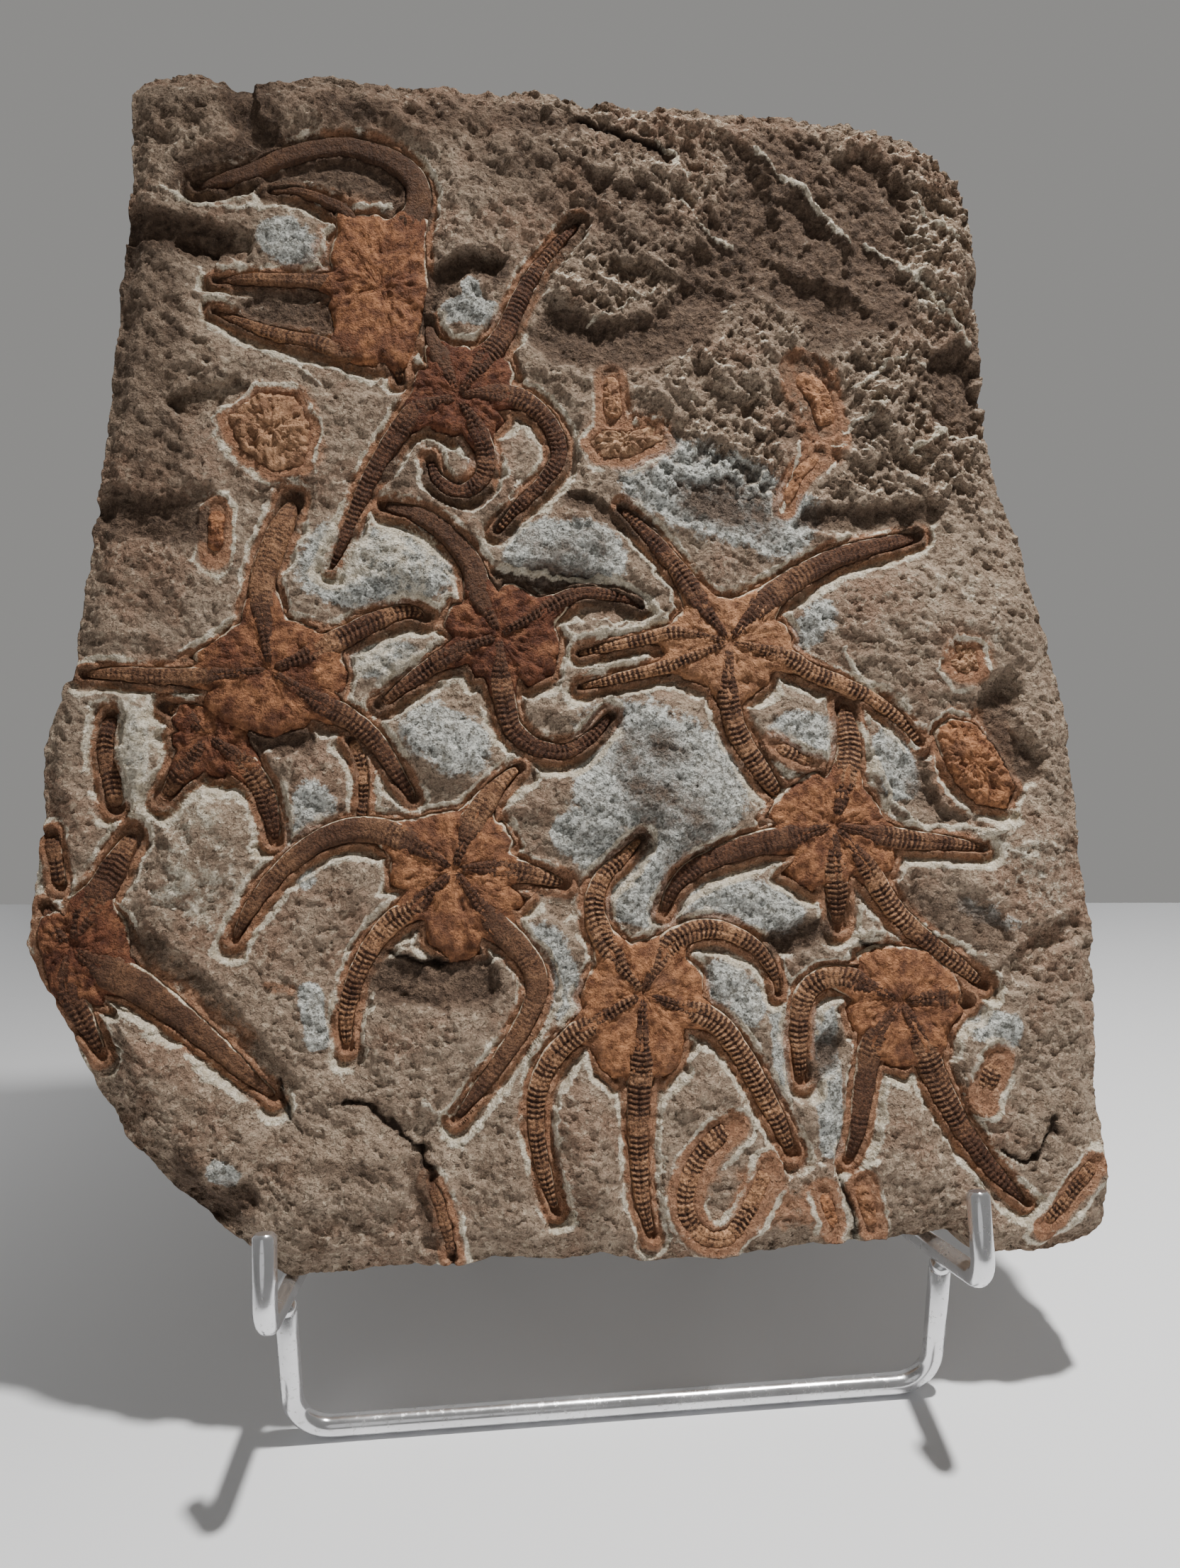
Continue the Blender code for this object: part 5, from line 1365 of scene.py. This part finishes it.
# %% Paths of the wires
WIRE_R, ROUND_R = 3.0, 2.9
SIDE, REACH_OUT, PRONG_TOP, REST_TOP = 86.0, 27.0, 18.5, 150.0
REST_OUT = SLAB_BACK - 0.3 - WIRE_R
PRONG_BEND, REST_BEND, FOOT_BEND = 6.0, 8.0, 10.0
REAR_SPLAY = math.radians(30)


def bent(corners, radius, steps=10):
    """A path through the corners with each inner corner turned into an arc."""
    path = [Vector(corners[0])]
    for before, corner, after in zip(corners, corners[1:], corners[2:]):
        corner = Vector(corner)
        back, on = (Vector(before) - corner).normalized(), (Vector(after) - corner).normalized()
        half = back.angle(on) / 2
        centre = corner + (back + on).normalized() * radius / math.sin(half)
        start = corner + back * radius / math.tan(half) - centre
        axis, turn = back.cross(on).normalized(), -(math.pi - 2 * half)
        path += [centre + Matrix.Rotation(turn * step / steps, 3, axis) @ start
                 for step in range(steps + 1)]
    return path + [Vector(corners[-1])]


def in_stand(x, up, out):
    """A place on the slab's frame as millimetres in the upright frame of the feet."""
    return Vector(SLAB_TO_WORLD @ Vector((x, up, out))) / MM


half = bent([(-SIDE, PRONG_TOP, REACH_OUT), (-SIDE, -WIRE_R, REACH_OUT),
             (-SIDE, -WIRE_R, REST_OUT / 2)], PRONG_BEND)[:-1]
half += bent([(-SIDE, -WIRE_R, REST_OUT / 2), (-SIDE, -WIRE_R, REST_OUT),
              (-SIDE, REST_TOP, REST_OUT), (0, REST_TOP, REST_OUT)], REST_BEND)[1:-1]
cradle = half + [Vector((-spot.x, spot.y, spot.z)) for spot in reversed(half)]

stand_x, front_y = SLAB_FOOT.x / MM, SLAB_FOOT.y / MM - 0.4
left, right = stand_x - SIDE, stand_x + SIDE
front_top = (in_stand(-SIDE, -WIRE_R, 0).z - WIRE_R / math.cos(LEAN) - WIRE_R * math.tan(LEAN)
             - 0.6)
rear_top = in_stand(-SIDE, 105.0, REST_OUT - 5.6)
rear_y = rear_top.y + (rear_top.z - ROUND_R) * math.tan(REAR_SPLAY)
front_foot = bent([(left, front_y, front_top), (left, front_y, ROUND_R),
                   (right, front_y, ROUND_R), (right, front_y, front_top)], FOOT_BEND)
rear_foot = bent([(left, rear_top.y, rear_top.z), (left, rear_y, ROUND_R),
                  (right, rear_y, ROUND_R), (right, rear_top.y, rear_top.z)], FOOT_BEND)
print("front foot at y", round(front_y, 1), "rear bar at y", round(rear_y, 1), "mm")

# %% [markdown]
# ### Chrome
# Chrome plate on wire is bright and nearly a mirror. It's never quite clean: broad smears dull it
# a little, and dust lies on it in fine specks.

# %% Chrome finish
CLEAN_CHROME, DUST = (tint(226, 226, 228), tint(242, 242, 244)), tint(150, 144, 136)


def chrome():
    wire = Finish("chrome_wire")
    smear, dust = wire.noise(14, 3, 0.6, 8), wire.noise(1.6, 4, 0.7, 9)
    colour = wire.over(wire.mix(smear, *CLEAN_CHROME), DUST, dust, 0.75, 1.0, 0.35)
    wire.set(wire.shader, {"Base Color": colour, "Metallic": 0.9,
                           "Roughness": 0.15 + smear * 0.07 + wire.step(dust, 0.6, 1.0) * 0.12,
                           "Normal": wire.bump(smear, 0.15, 0.3)})
    return wire.material


CHROME = chrome()
print("chrome:", len(CHROME.node_tree.nodes), "nodes")


# %% Wires
ROUNDING, END_R = 0.8, 0.75 * ROUND_R        # of a wire's cut ends


def wire_piece(name, path, node, to_world):
    """A circle extruded along a path, with its two cut ends slightly rounded."""
    bm = bmesh.new()
    ends = [(path[0] - path[1]).normalized(), (path[-1] - path[-2]).normalized()]
    spots = [path[0], path[0] - ends[0] * ROUNDING, *path[1:-1],
             path[-1] - ends[1] * ROUNDING, path[-1]]
    radii = [END_R] + [ROUND_R] * (len(spots) - 2) + [END_R]
    ring = bmesh.ops.create_circle(bm, segments=24, radius=radii[0], cap_ends=True)["verts"]
    place, facing = Vector(), Vector((0, 0, 1))
    edges = list({e for v in ring for e in v.link_edges})
    for index, (spot, radius) in enumerate(zip(spots, radii)):
        ahead = spots[min(index + 1, len(spots) - 1)] - spots[max(index - 1, 0)]
        if index:
            made = bmesh.ops.extrude_edge_only(bm, edges=edges)["geom"]
            ring = [g for g in made if isinstance(g, bmesh.types.BMVert)]
            edges = [g for g in made if isinstance(g, bmesh.types.BMEdge)
                     and all(v in ring for v in g.verts)]
        turn = facing.rotation_difference(ahead.normalized()).to_matrix().to_4x4()
        scale = radius / radii[max(index - 1, 0)]
        bmesh.ops.transform(bm, verts=ring, matrix=Matrix.Translation(spot) @ turn
                            @ Matrix.Scale(scale, 4) @ Matrix.Translation(-place))
        place, facing = spot, ahead.normalized()
    bmesh.ops.contextual_create(bm, geom=edges)
    finish_piece(name, bm, CHROME, node, to_world)


wire_piece("cradle_wire", cradle, "stand_cradle", SLAB_TO_WORLD)
wire_piece("front_foot_wire", front_foot, "stand_front_foot", UPRIGHT)
wire_piece("rear_foot_wire", rear_foot, "stand_rear_foot", UPRIGHT)

# %% [markdown]
# The feet are welded to the cradle. A weld is a small smooth fillet of metal that closes the last
# half millimetre between two wires, so it's a squashed ball, a little uneven, where they meet.

# %% Weld beads
def weld(name, centre, size):
    bm = bmesh.new()
    bmesh.ops.create_icosphere(bm, subdivisions=3, radius=1.0)
    for vert in bm.verts:
        vert.co *= 1 + 0.10 * noise.noise(vert.co * 1.7 + centre * 0.1)
    bmesh.ops.scale(bm, vec=Vector(size), verts=bm.verts)
    bmesh.ops.translate(bm, vec=centre, verts=bm.verts)
    finish_piece(name, bm, CHROME, None, UPRIGHT)


for x, label in ((left, "left"), (right, "right")):
    weld("front_weld_" + label, Vector((x, front_y - 0.2, front_top + 0.6)), (2.9, 3.1, 2.2))
    weld("rear_weld_" + label, Vector((x, rear_top.y - 1.6, rear_top.z + 0.4)), (2.7, 3.6, 3.0))

# %% [markdown]
# ## Floor
# The stand is on a plain white table, whose far edge is the horizon of the view. A plane does
# for it. It's turned with the camera, so that its edge lies level in the view.

# %% Floor
FLOOR_WIDTH, FLOOR_DEPTH = 3.2, 2.0
FAR_EDGE = (0.0388, 0.3401, 0)       # the middle of the floor's far edge, in metres
floor_finish = Finish("pale_floor")
floor_finish.set(floor_finish.shader, {"Base Color": tint(236, 237, 239), "Roughness": 0.6})
plane = bmesh.new()
bmesh.ops.create_grid(plane, x_segments=1, y_segments=1, size=1.0)
bmesh.ops.scale(plane, vec=(FLOOR_WIDTH / 2, FLOOR_DEPTH / 2, 1), verts=plane.verts)
bmesh.ops.translate(plane, vec=(0, -FLOOR_DEPTH / 2, 0), verts=plane.verts)
bmesh.ops.rotate(plane, matrix=Matrix.Rotation(YAW, 3, "Z"), verts=plane.verts)
bmesh.ops.translate(plane, vec=FAR_EDGE, verts=plane.verts)
mesh = bpy.data.meshes.new("pale_floor")
plane.to_mesh(mesh)
plane.free()
mesh.materials.append(floor_finish.material)
floor = bpy.data.objects.new("pale_floor", mesh)
bpy.context.scene.collection.objects.link(floor)
print("floor, m:", FLOOR_WIDTH, "by", FLOOR_DEPTH)

# %% [markdown]
# ## Light
# One small lamp hangs nearly overhead, to the right of the slab. It grazes the face, so that every
# ridge and rib shows. The slab's shadow lies under the stand, and those of the prongs fall
# forwards on the table. A wide, weak lamp in front lifts the shade. Two lamps behind light the
# table to its far edge, and a grey surrounding does the rest: it's lighter behind the slab.

# %% Light
def lamp(name, kind, place, target, power, colour=(1, 1, 1)):
    made = bpy.data.objects.new(name, bpy.data.lights.new(name, kind))
    made.data.energy, made.data.color = power, colour
    made.location = place
    made.rotation_euler = (Vector(place) - Vector(target)).to_track_quat("Z", "Y").to_euler()
    bpy.context.scene.collection.objects.link(made)
    return made.data


def spot(name, place, target, power, radius, angle, colour=(1, 1, 1)):
    made = lamp(name, "SPOT", place, target, power, colour)
    made.shadow_soft_size, made.spot_size, made.spot_blend = radius, math.radians(angle), 1.0


spot("key", (0.205, -0.06, 1.05), (0.12, -0.32, 0), 70.0, 0.03, 78, (1.0, 0.985, 0.96))
fill = lamp("front_fill", "AREA", (-0.5, -1.5, 0.9), (0, 0, 0.15), 1.6)
fill.shape, fill.size = "DISK", 1.2
for side, label in ((-1, "left"), (1, "right")):
    spot("back_" + label, (side * 0.56, 0.47, 0.5), (side * 0.38, 0.22, 0), 6.0, 0.1, 52)

# %% Grey surrounding
SHADE_FROM, SHADE_TO = (-0.2, 0.36), (0.8, 0.72)     # how far back, and how strong there
world = bpy.data.worlds.new("grey_room")
bpy.context.scene.world = world
world.use_nodes = True
sky = world.node_tree
towards = sky.nodes.new("ShaderNodeTexCoord")
split = sky.nodes.new("ShaderNodeSeparateXYZ")
shade = sky.nodes.new("ShaderNodeMapRange")
for end, (back, strength) in (("Min", SHADE_FROM), ("Max", SHADE_TO)):
    shade.inputs["From " + end].default_value = back
    shade.inputs["To " + end].default_value = strength
sky.links.new(towards.outputs["Generated"], split.inputs[0])
sky.links.new(split.outputs["Y"], shade.inputs["Value"])
sky.links.new(shade.outputs[0], sky.nodes["Background"].inputs["Strength"])
sky.nodes["Background"].inputs["Color"].default_value = tint(168, 167, 165)
print("strength in front and behind:", SHADE_FROM[1], SHADE_TO[1])
